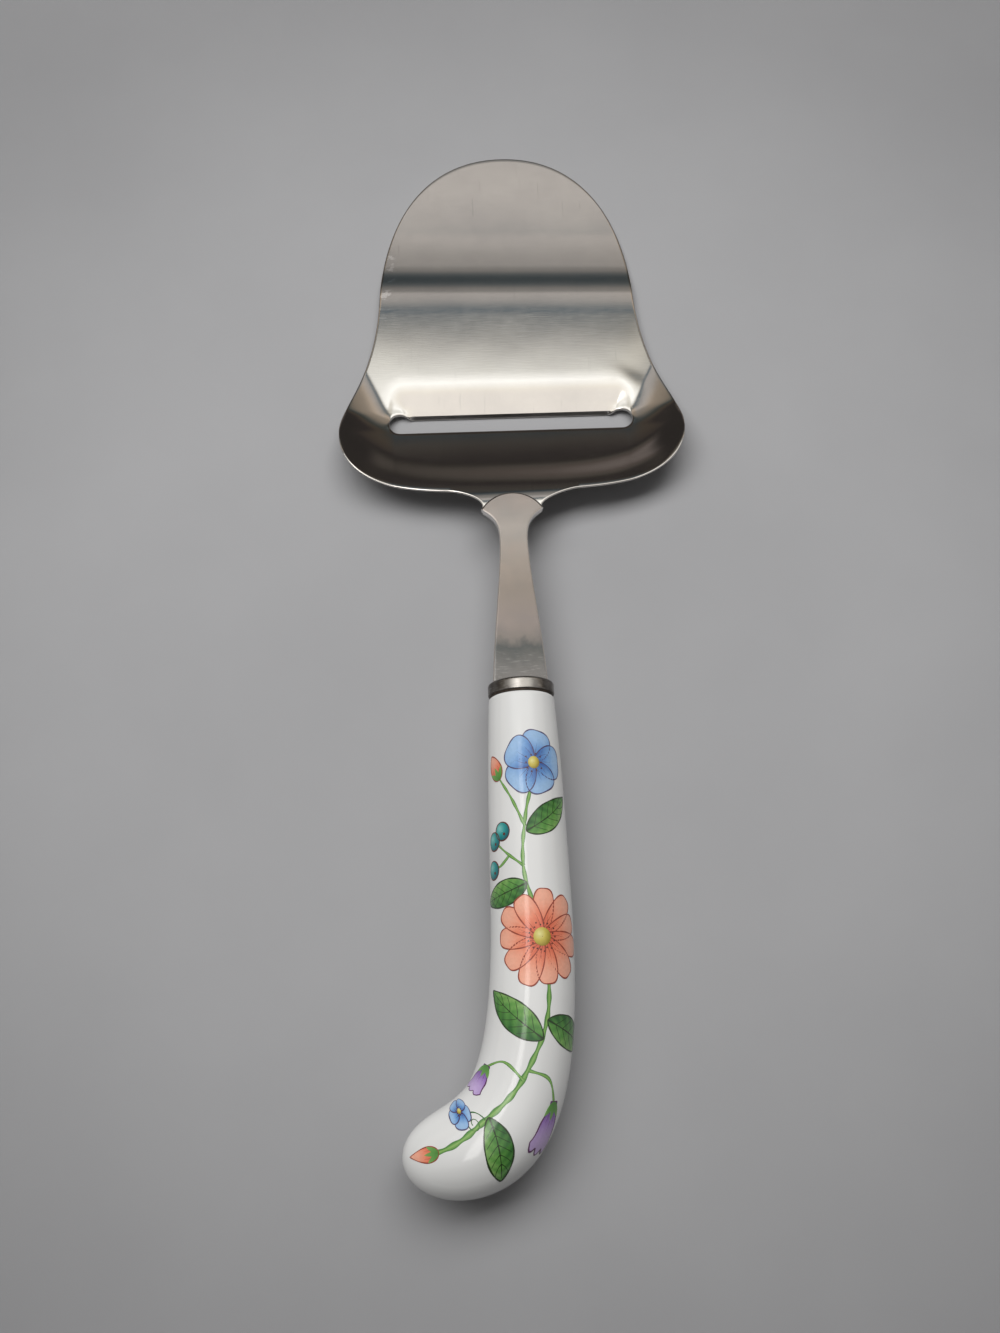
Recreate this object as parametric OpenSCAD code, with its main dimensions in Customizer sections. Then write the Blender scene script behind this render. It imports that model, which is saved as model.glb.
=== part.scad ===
// Cheese slicer: a pressed steel blade with a cross slot, a flat shank, a ferrule
// and a porcelain pistol grip.
// Lengths are millimetres. The slicer lies flat with its cutting face down: +Y points
// to the blade's tip, +Z up, and the grip's tail bends towards -X.
// The shapes are worked out with the middle of the cutting edge at x = 0, y = 0.

/* [Blade outline] */
// From the cutting edge forward to the tip
blade_front = 73; // [60:0.5:85]
// Roundness of the tip, as the sideways pull of its curve
tip_round = 21; // [16:0.5:25]
// Width at the waist, where the plate runs into the wings
waist_width = 62; // [58:0.5:68]
// From the cutting edge forward to the waist
waist_ahead = 32; // [28:0.5:38]
// Width across the wings
wing_width = 80.4; // [76:0.2:90]
// From the cutting edge back to the widest point of the wings
wing_back = 5.7; // [5:0.1:8]
// From the cutting edge back to the rim beside the neck
rim_back = 22; // [19:0.5:28]
// Width between the two places where the rim turns into the neck
rim_width = 30; // [24:0.5:36]
// Thickness of the sheet
sheet = 1; // [0.8:0.05:1.4]

/* [Pressed form] */
// Rise of the step between the tip plate and the middle plate
step_rise = 1.3; // [0.6:0.1:1.8]
// From the cutting edge forward to the near end of the step
step_ahead = 27; // [22:0.5:28]
// Length of the step's long soft bend
step_length = 24; // [18:0.5:26]
// From the cutting edge forward to the sharper fold within the step
fold_ahead = 32.8; // [29:0.1:36]
// Length of that fold
fold_length = 8; // [6:0.2:10]
// Share of the rise in the fold
fold_share = 0.43; // [0.2:0.01:0.7]
// Forward lean of the step, per millimetre to the left
step_skew = 0.03; // [0:0.01:0.08]
// Height of the cutting edge's underside above the plane that the slicer rests on
edge_lift = 0.1; // [0.05:0.05:0.3]
// From the cutting edge forward to where the plate starts to bend down
crown_ahead = 11.3; // [10:0.1:18]
// Slope of that bend where it meets the lip
crown_slope = 0.021; // [0:0.001:0.06]
// Length of the lip
lip_length = 7.25; // [6:0.05:9]
// Steepness of the lip at the slot's ends, beside its own along the cutting edge
lip_steep = 1.4; // [1:0.05:1.8]
// Radius of the corner where the lip turns to the slot's ends
lip_round = 5; // [3:0.2:6]
// From the cutting edge back to the middle of the bend into the dish
dish_start = 2.1; // [1:0.1:4]
// How much steeper the dish is halfway up than at its ends, from 0 for an even slope
dish_bow = 0.2; // [0:0.05:0.5]
// Slope of the wings where they leave the crease beside the plate
wing_slope = 0.09; // [0.04:0.005:0.14]
// How fast the wings get steeper from there
wing_curl = 0.0125; // [0:0.0005:0.02]
// Sideways lean of the creases, per millimetre forward
crease_lean = 0.48; // [0.3:0.02:0.6]

/* [Slot] */
// Length of the slot
slot_length = 57.6; // [48:0.2:60]
// Gap of the slot from the cutting edge to the dish
slot_gap = 4.6; // [4.2:0.1:5]
// Diameter of the round relief at each end of the slot
relief_d = 5.4; // [5.2:0.1:6]
// Width of the ground bevel at the cutting edge
bevel_width = 0.6; // [0.4:0.1:1.6]

/* [Shank] */
// Thickness of the strip
shank_t = 2; // [1.5:0.1:2.6]
// From the rim back to the round end of the strip
lap_start = 1.8; // [1:0.1:3]
// From the round end to the ferrule
shank_out = 45; // [38:0.5:60]
// Width of the flared end
flare_width = 14.3; // [13:0.1:17]
// Height of the round end above the flare's corners
flare_crown = 4.2; // [3:0.1:5]
// Narrowest width, behind the flare
neck_width = 6.4; // [5.5:0.1:8]
// From the flare's corners back to the narrowest place
neck_run = 7; // [6:0.5:10]
// Width at the ferrule
shank_width = 12; // [10.5:0.1:13]
// How far the strip's round end lies to the right of the blade's middle line
line_aside = -0.73; // [-1:0.01:1]
// How far the strip and the grip are turned to the left of that line, in degrees
line_lean = 0.48; // [-1:0.02:1]
// Width of the tang inside the grip
tang_width = 7; // [5.5:0.1:7.6]
// Length of the tang behind the ferrule's face
tang_length = 48; // [40:1:56]
// Depth of the tang's keying notches
notch_depth = 1.2; // [0.6:0.1:1.6]
// Diameter of a spot weld
weld_d = 2.6; // [2:0.1:2.8]
// Distance between the two spot welds
weld_pitch = 6; // [5:0.1:6.4]
// How deep a weld runs into each of the two sheets
weld_depth = 0.5; // [0.3:0.05:0.6]

/* [Ferrule] */
// Outer diameter
ferrule_d = 14.2; // [13.6:0.1:16]
// Height of the band
ferrule_h = 2.6; // [2.4:0.1:5]
// Wall of the band and of its face
ferrule_wall = 0.8; // [0.6:0.05:1]
// Thickness of the seal behind the ferrule
seal_t = 0.4; // [0.3:0.1:1]
// How far the seal sits in from the ferrule's outside
seal_inset = 0.35; // [0.2:0.05:0.5]

/* [Grip] */
// Diameter of the porcelain behind the ferrule
grip_d = 14.2; // [14:0.1:16]
// Rounding of its front edge
grip_edge = 0.7; // [0.5:0.05:0.8]
// Swell of the grip's sides: pulls of the half width at a third, two thirds and the tail
side_swell = [9.4, 7.3, 11.7]; // [7:0.1:12]
// Swell of the grip's height: pulls of the half height at the same places
height_swell = [9.0, 8.9, 9.6]; // [8:0.1:10]
// Length of the straight part
grip_straight = 42.7; // [36:0.1:60]
// From the end of the straight part back to the middle of the tail
grip_drop = 48.6; // [42:0.1:60]
// Reach of the tail beside the grip's axis
tail_reach = 27.4; // [22:0.1:32]
// Length of the tail's own straight pull
tail_pull = 17.3; // [14:0.1:20]
// Length over which the tail rounds off
tail_round = 22; // [16:0.5:24]
// Diameter of the bore for the tang
bore_d = 9; // [8.4:0.1:9.4]
// Cement behind the tang's end
cement_beyond = 4; // [2:0.5:8]
// Empty bore behind the cement
bore_beyond = 6; // [2:0.5:8]

/* [Fits] */
// Gap between the ferrule's inside and the porcelain neck
ferrule_clear = 0.2; // [0.1:0.05:0.3]
// Gap around the tang in the ferrule's slot
tang_clear = 0.1; // [0.05:0.05:0.2]

/* [Hidden] */
$fn = 96;
steel = [0.72, 0.70, 0.67];
overcut = 1;

// Curves and blends

// Point of a cubic curve with ends p and s and pulls q and r
function curve(p, q, r, s, u) =
    pow(1 - u, 3) * p + 3 * pow(1 - u, 2) * u * q + 3 * (1 - u) * u * u * r + u * u * u * s;
// Straight share t of the way from p to q
function mix(p, q, t) = p + (q - p) * t;
function clamp01(t) = min(1, max(0, t));
// Smooth step from 0 to 1
function ease(t) = let (c = clamp01(t)) c * c * (3 - 2 * c);
// Ramp that starts at 0, with its corner rounded over a reach on either side
function ramp(d, reach) = d < -reach ? 0 : d < reach ? pow(d + reach, 2) / (4 * reach) : d;
// Lower of a and b, with the corner between them rounded
function soft_min(a, b, reach) = b - ramp(b - a, reach);

// Grip centre line: straight, then bent round to the tail
grip_rings = 26;
bend_short = 1;
ring_crowding = 1.8;
bend_pull = grip_drop - bend_short;
function grip_line(u) = curve([0, 0], [0, -bend_pull], [tail_pull - tail_reach, -grip_drop],
    [-tail_reach, -grip_drop], u) - [0, grip_straight];
straight_rings = 9;
grip_points = concat(
    [for (i = [0:straight_rings - 1]) [0, -grip_straight * i / straight_rings]],
    [for (i = [0:grip_rings]) grip_line(1 - pow(1 - i / grip_rings, ring_crowding))]);
grip_last = len(grip_points) - 1;
// Length along the centre line up to each point
grip_run = [for (i = 0, s = 0; i <= grip_last;
    s = s + (i < grip_last ? norm(grip_points[i + 1] - grip_points[i]) : 0), i = i + 1) s];
grip_length = grip_run[grip_last];
function tail_share(s) = clamp01((s - grip_length + tail_round) / tail_round);
function tail_cap(s) = sqrt(1 - pow(tail_share(s), 2));
function front_edge(s) = s >= grip_edge ? 0 : grip_edge - sqrt(grip_edge * grip_edge - pow(grip_edge - s, 2));
function swell(pulls, s) = curve(grip_d / 2, pulls[0], pulls[1], pulls[2], s / grip_length);
function grip_half(pulls, s) = (swell(pulls, s) - front_edge(s)) * tail_cap(s);

// Heights: the grip's belly rests on the same plane as the tip plate
axis_z = max([for (s = grip_run) grip_half(height_swell, s)]);
shank_z = axis_z - shank_t / 2;
tab_z = shank_z - sheet / 2;
plate_z = sheet / 2 + step_rise;
lip_drop = step_rise - edge_lift;

// Places along the slicer, from the cutting edge
slot_half = slot_length / 2;
flare_y = -rim_back - lap_start;
corner_y = flare_y - flare_crown;
ferrule_y = flare_y - shank_out;
seal_y = ferrule_y - ferrule_h;
grip_y = seal_y - seal_t;
// The line of the strip and the grip: turned about the strip's round end, and a little aside
function turned(v) = [v[0] * cos(line_lean) - v[1] * sin(line_lean), v[0] * sin(line_lean) + v[1] * cos(line_lean)];
function on_line(p) = turned(p - [0, flare_y]) + [line_aside, flare_y];
// Whole length, so that the origin sits in the middle of it
tail_y = min([for (i = [0:grip_last]) on_line(grip_points[i] + [0, grip_y])[1] - side_reach(i)]);
mid_y = (blade_front + tail_y) / 2;

// Direction of the centre line at point i
function grip_way(i) = let (
    a = grip_points[max(0, i - 1)],
    b = grip_points[min(grip_last, i + 1)])
    (b - a) / norm(b - a);
// Reach of ring i beyond its centre, back along the slicer
function side_reach(i) = abs(turned(grip_way(i))[0]) * grip_half(side_swell, grip_run[i]);

// Blade outline: half widths along the length
waist = [waist_width / 2, waist_ahead];
waist_pull = 20.7;
waist_flare = 0.04;
wing = [wing_width / 2, -wing_back];
wing_pull = [0, 9];
corner_pull = [0, 0.785 * (rim_back - wing_back)];
rim = [rim_width / 2, -rim_back];
rim_way = [1, 0.06];
rim_pull = 12.3;
fillet_pull = 2.6;
// The tab under the shank's flare stays just inside the flare's corners
tab_inset = 0.4;
tab_past = 0.3;
tab_half = flare_width / 2 - tab_inset;
tab_end = corner_y - tab_past;
tab_corner = 2;
function front_side(u) = curve([0, blade_front], [tip_round, blade_front],
    waist + waist_pull * [-waist_flare, 1], waist, u);
function wing_side(u) = curve(waist, waist - waist_pull * [-waist_flare, 1],
    wing + wing_pull, wing, u);
function rim_side(u) = curve(wing, wing - corner_pull, rim + rim_pull * rim_way, rim, u);
function neck_side(u) = curve(rim, rim - fillet_pull * rim_way, [tab_half, tab_end + 2 * tab_corner],
    [tab_half, tab_end + tab_corner], u);
function tab_side(a) = [tab_half, tab_end + tab_corner] + tab_corner * [cos(a) - 1, -sin(a)];

// Point of the front or wing side at a given y, found by halving
function on_side(y, low = 0, high = 1, steps = 24) = let (
    u = (low + high) / 2,
    p = y > waist_ahead ? front_side(u) : wing_side(u))
    steps == 0 ? p : p[1] > y ? on_side(y, u, high, steps - 1) : on_side(y, low, u, steps - 1);

function spread(from, to, count) = [for (i = [0:count - 1]) mix(from, to, i / count)];
// Rows of the sheet: closer where it bends, one on each side of the slot's middle
lip_soft = 1.5;
step_reach = step_skew * waist_width / 2;
step_start = step_ahead - step_reach;
step_end = step_ahead + step_length + step_reach;
lip_top = lip_length + lip_soft;
lip_low = lip_length - lip_soft;
tip_rows = 12;
tip_blunt = 0.05;
rim_rows = 14;
neck_rows = 5;
edge_gap = 0.5;
row_places = concat(
    [for (i = [0:tip_rows - 1]) mix(blade_front - tip_blunt, step_end, 1 - cos(90 * i / tip_rows))],
    spread(step_end, step_start, 20),
    spread(step_start, crown_ahead, 3),
    spread(crown_ahead, lip_top, 4),
    spread(lip_top, lip_low, 3),
    spread(lip_low, edge_gap, 4),
    [-0.15, -0.45, -0.55, -0.85] * slot_gap);
rows = concat(
    [for (y = row_places) on_side(y)],
    [for (i = [0:rim_rows - 1]) let (p = rim_side(i / rim_rows)) if (p[1] < -slot_gap - edge_gap) p],
    [for (i = [0:neck_rows - 1]) neck_side(i / neck_rows)],
    [for (a = [0:30:90]) tab_side(a)]);

// Height of the sheet's middle surface
dish_soft = 2.5;
dish_late = 1.3;
tab_soft = 0.4;
// The dish levels off this far behind the rim, under the shank
rim_past = 2.6;
dish_reach = rim_back - dish_start + rim_past;
function dish_rise(y) = let (u = ramp(-y - dish_start, dish_soft) / dish_reach)
    (tab_z - plate_z) * mix(u, ease(pow(u, dish_late)), dish_bow);
// Half the plate's width between the creases, which run straight back from the slot's ends
crease_inset = 0.3;
crease_soft = 0.7;
lean_past = 2.5;
function crease(y) = slot_half - crease_inset + crease_lean * (ramp(y + lean_past, lean_past) - lean_past);
function wing_rise(x, y) = let (d = ramp(abs(x) - crease(y), crease_soft)) (wing_slope + wing_curl * d) * d;
function step_fall(x, y) = let (ahead = y + step_skew * x)
    step_rise * mix(ease((ahead - step_ahead) / step_length), ease((ahead - fold_ahead) / fold_length),
        fold_share);
// Distance inside the fold of the lip, which turns in a round corner to each end of the slot
hip_soft = 1.2;
function inside_lip(x, y) = let (
    across = lip_steep * (abs(x) - slot_half) + lip_round,
    ahead = y - lip_length + lip_round,
    hip = (across + ahead + norm([across - ahead, hip_soft])) / 2)
    lip_round - norm([max(across, 0), max(ahead, 0)]) - min(hip, 0);
crown_mid = (crown_ahead + lip_length) / 2;
crown_reach = (crown_ahead - lip_length) / 2;
lip_slope = (lip_drop - crown_slope * crown_mid) / lip_length;
function lip_fall(x, y) = let (d = inside_lip(x, y)) y < -slot_gap / 2 ? 0
    : crown_slope * ramp(d + crown_mid - lip_length, crown_reach) + lip_slope * ramp(d, lip_soft);
function sheet_z(x, y) = soft_min(plate_z + dish_rise(y) + wing_rise(x, y), tab_z, tab_soft)
    - step_fall(x, y) - lip_fall(x, y);
// Half the sheet's thickness, measured upright where it slopes
function upright(x, y) = let (
    h = 0.05,
    z = sheet_z(x, y),
    slope = [sheet_z(x + h, y) - z, sheet_z(x, y < -slot_gap / 2 ? y - h : y + h) - z] / h)
    sheet / 2 * sqrt(1 + slope * slope);

// Closed skin over two stacked grids of points, given row by row
function grid_faces(row_count, row_length) = let (
    n = row_length,
    size = row_count * n,
    last = (row_count - 1) * n)
    concat(
        [for (i = [0:row_count - 2], j = [0:n - 2], k = [0, 1]) let (a = i * n + j)
            k == 0 ? [a, a + 1, a + n] : [a + 1, a + n + 1, a + n]],
        [for (i = [0:row_count - 2], j = [0:n - 2], k = [0, 1]) let (a = size + i * n + j)
            k == 0 ? [a, a + n, a + 1] : [a + 1, a + n, a + n + 1]],
        [for (i = [0:row_count - 2], k = [0, 1]) let (a = i * n, b = size + a)
            k == 0 ? [a, a + n, b] : [a + n, b + n, b]],
        [for (i = [0:row_count - 2], k = [0, 1]) let (a = i * n + n - 1, b = size + a)
            k == 0 ? [a, b, a + n] : [a + n, b, b + n]],
        [for (j = [0:n - 2], k = [0, 1]) let (a = j, b = size + j)
            k == 0 ? [a, b, a + 1] : [a + 1, b, b + 1]],
        [for (j = [0:n - 2], k = [0, 1]) let (a = last + j, b = size + a)
            k == 0 ? [a, a + 1, b] : [a + 1, b + 1, b]]);

columns = 40;
// Columns of the sheet stand closer together towards its sides
side_crowding = 0.3;
function across(j) = let (t = 2 * j / columns - 1) t * (1 + side_crowding * (1 - t * t));
// The tab follows the strip's line
tab_turn = 5;
function tab_aside(y) = line_aside * ease((-y - rim_back) / tab_turn);
module pressed_sheet() {
    places = [for (r = rows) [for (j = [0:columns]) [r[0] * across(j) + tab_aside(r[1]), r[1]]]];
    top = [for (row = places, p = row) [p[0], p[1], sheet_z(p[0], p[1]) + upright(p[0], p[1])]];
    bottom = [for (row = places, p = row) [p[0], p[1], sheet_z(p[0], p[1]) - upright(p[0], p[1])]];
    polyhedron(concat(top, bottom), grid_faces(len(rows), columns + 1));
}

slot_depth = 4 * axis_z;
module slot_cut() {
    relief_x = slot_half - relief_d / 2;
    translate([0, -slot_gap / 2, 0]) cube([2 * relief_x, slot_gap, slot_depth], center = true);
    for (side = [-1, 1])
        translate([side * relief_x, relief_d / 2 - slot_gap, 0])
            cylinder(d = relief_d, h = slot_depth, center = true);
}

// Wedge ground off the lip's upper side, down to a fine edge
edge_left = 0.15;
module bevel_cut() {
    bevel_half = slot_half - lip_length / lip_steep;
    edge_z = plate_z - lip_drop - sheet / 2 + edge_left;
    top_z = edge_z + sheet;
    translate([-bevel_half, 0, 0]) rotate([90, 0, 90]) linear_extrude(2 * bevel_half)
        polygon([[-overcut, edge_z], [0, edge_z], [bevel_width, top_z], [bevel_width, top_z + overcut],
            [-overcut, top_z + overcut]]);
}

weld_y = mix(corner_y, flare_y, 0.3);
module welds(depth_down, depth_up) {
    for (side = [-1, 1])
        translate([side * weld_pitch / 2, weld_y, shank_z - depth_down])
            cylinder(d = weld_d, h = depth_down + depth_up);
}

// Outline of the strip: half of it, from the round end back along the tang
flare_half = flare_width / 2;
flare_r = (flare_half * flare_half + flare_crown * flare_crown) / (2 * flare_crown);
flare_angle = asin(flare_half / flare_r);
flare_pull = [-2.6, -1.6];
neck = [neck_width / 2, corner_y - neck_run];
neck_pull = [0, 4];
waist_run = [0, 8];
shoulder = [shank_width / 2, ferrule_y];
shoulder_pull = [-0.75, 14];
notch_pitch = 9;
notch_run = 4;
// Share of a notch's run that slopes at each end
notch_ramp = 0.25;
notch_count = floor((tang_length - 2 * notch_run) / notch_pitch);
tang_tip = 2;
tang_half = tang_width / 2;
strip_half = concat(
    [for (i = [0:12]) let (a = flare_angle * i / 12) [flare_r * sin(a), flare_y - flare_r * (1 - cos(a))]],
    [for (i = [1:8]) curve([flare_half, corner_y], [flare_half, corner_y] + flare_pull,
        neck + neck_pull, neck, i / 8)],
    [for (i = [1:8]) curve(neck, neck - waist_run, shoulder + shoulder_pull, shoulder, i / 8)],
    [[tang_half, ferrule_y]],
    [for (k = [1:notch_count], c = [[0, 0], [1, notch_ramp], [1, 1 - notch_ramp], [0, 1]])
        [tang_half - c[0] * notch_depth, ferrule_y - notch_pitch * k - c[1] * notch_run]],
    [[tang_half, ferrule_y - tang_length + tang_tip], [tang_half - tang_tip, ferrule_y - tang_length]]);
strip_last = len(strip_half) - 1;
module strip() {
    translate([0, 0, shank_z]) linear_extrude(shank_t)
        polygon(concat(strip_half, [for (i = [strip_last:-1:1]) [-strip_half[i][0], strip_half[i][1]]]));
}

// Round bar along the slicer, from y back over a length
module bar(d, y, length) {
    translate([0, y, axis_z]) rotate([90, 0, 0]) cylinder(d = d, h = length);
}

grip_sides = 40;
edge_rings = 3;
// Rings of the grip: the rounded front edge, then the centre line's points up to the tail
ring_runs = concat(
    [for (i = [0:edge_rings - 1]) [0, grip_edge * (1 - cos(90 * i / edge_rings))]],
    [[0, grip_edge]],
    [for (i = [1:grip_last - 1]) [i, grip_run[i]]]);
function ring_centre(r) = r[0] == 0 ? [0, -r[1]] : grip_points[r[0]];
module grip_body() {
    rings = [for (r = ring_runs) let (
        centre = ring_centre(r),
        way = grip_way(r[0]),
        half_w = grip_half(side_swell, r[1]),
        half_h = grip_half(height_swell, r[1]))
        [for (j = [0:grip_sides - 1]) let (a = 360 * j / grip_sides)
            [centre[0] - way[1] * half_w * cos(a), centre[1] + way[0] * half_w * cos(a), half_h * sin(a)]]];
    count = len(rings);
    tail = count * grip_sides;
    points = concat([for (ring = rings, p = ring) p],
        [[grip_points[grip_last][0], grip_points[grip_last][1], 0]]);
    faces = concat(
        [[for (j = [0:grip_sides - 1]) j]],
        [for (i = [0:count - 2], j = [0:grip_sides - 1], k = [0, 1]) let (
            a = i * grip_sides + j,
            b = i * grip_sides + (j + 1) % grip_sides)
            k == 0 ? [a, a + grip_sides, b] : [b, a + grip_sides, b + grip_sides]],
        [for (j = [0:grip_sides - 1])
            [tail - grip_sides + j, tail, tail - grip_sides + (j + 1) % grip_sides]]);
    translate([0, grip_y, axis_z]) polyhedron(points, faces);
}

// The porcelain neck that stands in the ferrule
collar_d = ferrule_d - 2 * ferrule_wall - 2 * ferrule_clear;
collar_y = ferrule_y - ferrule_wall - ferrule_clear;
cement_end = ferrule_y - tang_length - cement_beyond;

module centred() {
    translate([0, -mid_y, 0]) children();
}

module lined_up() {
    translate([line_aside, flare_y, 0]) rotate([0, 0, line_lean]) translate([0, -flare_y, 0]) children();
}

module blade() {
    color(steel) centred() difference() {
        pressed_sheet();
        slot_cut();
        bevel_cut();
        lined_up() welds(weld_depth, overcut);
    }
}

module shank() {
    color(steel) centred() lined_up() difference() {
        strip();
        welds(overcut, weld_depth);
    }
}

module spot_welds() {
    color([0.6, 0.58, 0.55]) centred() lined_up() welds(weld_depth, weld_depth);
}

module ferrule() {
    slot = [tang_width + 2 * tang_clear, 4 * ferrule_wall, shank_t + 2 * tang_clear];
    color(steel) centred() lined_up() difference() {
        bar(ferrule_d, ferrule_y, ferrule_h);
        bar(ferrule_d - 2 * ferrule_wall, ferrule_y - ferrule_wall, ferrule_h);
        translate([0, ferrule_y, axis_z]) cube(slot, center = true);
    }
}

module ferrule_seal() {
    color([0.2, 0.17, 0.14]) centred() lined_up() difference() {
        bar(ferrule_d - 2 * seal_inset, seal_y, seal_t);
        bar(collar_d, seal_y + overcut, seal_t + 2 * overcut);
    }
}

module handle() {
    color([0.92, 0.91, 0.89]) centred() lined_up() difference() {
        union() {
            grip_body();
            bar(collar_d, collar_y, collar_y - grip_y + grip_edge);
        }
        bar(bore_d, collar_y + overcut, collar_y + overcut - cement_end + bore_beyond);
    }
}

module tang_cement() {
    color([0.75, 0.73, 0.68]) centred() lined_up() difference() {
        bar(bore_d, collar_y, collar_y - cement_end);
        strip();
    }
}

blade();
shank();
spot_welds();
ferrule();
ferrule_seal();
handle();
tang_cement();
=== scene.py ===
import math

import bpy
import numpy as np
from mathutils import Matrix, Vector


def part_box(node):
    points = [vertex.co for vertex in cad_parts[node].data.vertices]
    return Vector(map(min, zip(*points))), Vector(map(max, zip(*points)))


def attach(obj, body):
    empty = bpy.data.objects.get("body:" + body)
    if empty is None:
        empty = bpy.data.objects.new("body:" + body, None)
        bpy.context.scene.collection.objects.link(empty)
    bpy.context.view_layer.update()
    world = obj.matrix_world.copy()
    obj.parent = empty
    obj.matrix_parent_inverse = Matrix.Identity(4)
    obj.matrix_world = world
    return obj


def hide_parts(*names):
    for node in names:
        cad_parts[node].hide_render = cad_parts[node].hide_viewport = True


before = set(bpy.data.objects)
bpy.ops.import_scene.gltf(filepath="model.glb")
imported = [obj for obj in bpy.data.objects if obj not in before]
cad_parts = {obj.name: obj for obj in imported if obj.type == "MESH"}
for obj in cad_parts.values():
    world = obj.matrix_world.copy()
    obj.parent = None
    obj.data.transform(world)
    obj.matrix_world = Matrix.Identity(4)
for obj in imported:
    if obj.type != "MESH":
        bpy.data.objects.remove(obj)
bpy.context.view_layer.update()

# Lengths below are millimetres, and the meshes are metres, as the frame is.
# Shapes are worked out from the middle of the cutting edge, as the solids are, and then
# moved by MID_Y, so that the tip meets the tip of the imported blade.
MM = 0.001

# Blade outline
BLADE_FRONT, TIP_ROUND = 73.0, 21.0
WAIST = np.array([31.0, 32.0])
WAIST_PULL = 20.7 * np.array([-0.04, 1.0])
WING = np.array([40.2, -5.7])
WING_PULL = np.array([0.0, 9.0])
RIM = np.array([15.0, -22.0])
RIM_WAY = np.array([1.0, 0.06])
RIM_PULL, FILLET_PULL, CORNER_PULL = 12.3, 2.6, 0.785
SHEET = 1.0

# Pressed form: step, crown and lip ahead of the slot, dish and wings behind it
STEP_RISE, STEP_AHEAD, STEP_LENGTH, STEP_SKEW = 1.3, 27.0, 24.0, 0.03
FOLD_AHEAD, FOLD_LENGTH, FOLD_SHARE = 32.8, 8.0, 0.43
EDGE_LIFT, CROWN_AHEAD, CROWN_SLOPE = 0.1, 11.3, 0.021
LIP_LENGTH, LIP_SOFT, LIP_STEEP, LIP_ROUND, HIP_SOFT = 7.25, 1.5, 1.4, 5.0, 1.2
DISH_START, DISH_SOFT, DISH_BOW, DISH_LATE = 2.1, 2.5, 0.2, 1.3
TAB_SOFT, RIM_PAST = 0.4, 3.6
WING_SLOPE, WING_CURL = 0.09, 0.0125
CREASE_INSET, CREASE_SOFT, CREASE_LEAN, LEAN_PAST = 0.3, 0.3, 0.48, 2.5

# Unevenness of a used blade: a twist, a skewed and swollen dish, early wings and a dent
TWIST, TWIST_AHEAD, TWIST_LENGTH = 0.001, 6.0, 20.0
DISH_SKEW, WING_EARLY = 0.0007, 0.15
SWELL_RISE, SWELL_WIDTH, SWELL_BACK = 0.27, 7.0, 17.5
SWELL_BEND, SWELL_ROUND, SWELL_SKEW = 4.0, 3.5, 0.012
DENT, DENT_WAY = np.array([30.0, 9.0]), np.array([0.8, -0.6])
DENT_DEPTH, DENT_REACH, DENT_LENGTH = 0.08, 1.7, 4.5

# Slot with its ground cutting edge
SLOT_HALF, SLOT_GAP, RELIEF_R = 28.8, 4.6, 2.7
BEVEL, CUT_HALF, CUT_FADE = 0.6, 24.6, 1.2

# Rounding of the edges, the most that it takes off a face, and how many half thicknesses
# a ground edge goes down
RIM_R, SLOT_R, STRIP_R = 0.35, 0.22, 0.4
EDGE_DROP, GROUND_DROP = 0.45, 1.95

# Shank
LAP_START, SHANK_OUT, SHANK_T = 1.8, 45.0, 2.0
FLARE_HALF, FLARE_CROWN, FLARE_PULL = 7.15, 4.2, np.array([-2.6, -1.6])
NECK_HALF, NECK_RUN, NECK_PULL = 3.2, 7.0, np.array([0.0, 4.0])
RUN_PULL, SHOULDER_HALF, SHOULDER_PULL = np.array([0.0, 8.0]), 6.0, np.array([-0.75, 14.0])
LINE_ASIDE, LINE_LEAN = -0.73, math.radians(0.48)
TANG_HALF, TANG_LENGTH, TANG_CORNER = 3.5, 48.0, 2.0
TAB_INSET, TAB_PAST, TAB_CORNER, TAB_TURN = 0.4, 0.3, 2.0, 5.0

# Ferrule and grip
FERRULE_R, FERRULE_H, FERRULE_WALL, SEAL_T = 7.1, 2.6, 0.8, 0.4
GRIP_R, GRIP_EDGE, GLAZE_IN = 7.1, 0.7, 0.09
SIDE_SWELL, HEIGHT_SWELL = (9.4, 7.3, 11.7), (9.0, 8.9, 9.6)
GRIP_STRAIGHT, GRIP_DROP, BEND_LATE = 42.7, 48.6, 1.0
TAIL_REACH, TAIL_PULL, TAIL_ROUND = 27.4, 17.3, 22.0

# Places along the slicer
FLARE_Y = RIM[1] - LAP_START
CORNER_Y = FLARE_Y - FLARE_CROWN
FERRULE_Y = FLARE_Y - SHANK_OUT
GRIP_Y = FERRULE_Y - FERRULE_H - SEAL_T
MID_Y = BLADE_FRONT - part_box("blade")[1].y / MM
AXIS_Z = (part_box("ferrule")[0].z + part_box("ferrule")[1].z) / 2 / MM
TAB_Z = AXIS_Z - SHANK_T / 2 - SHEET / 2
PLATE_Z = SHEET / 2 + STEP_RISE


# Curves and blends

def curve(p, q, r, s, u):
    """Points of a cubic curve with ends p and s and pulls q and r."""
    u = np.asarray(u, float)
    if np.ndim(p):
        u = u[..., None]
    return (1 - u) ** 3 * p + 3 * (1 - u) ** 2 * u * q + 3 * (1 - u) * u * u * r + u ** 3 * s


def ease(t):
    t = np.clip(t, 0, 1)
    return t * t * (3 - 2 * t)


def ramp(d, reach):
    """Ramp that starts at 0, with its corner rounded over a reach on either side."""
    return np.where(d < -reach, 0, np.where(d < reach, (d + reach) ** 2 / (4 * reach), d))


def mixed(a, b, t):
    return a + (b - a) * t


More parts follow.
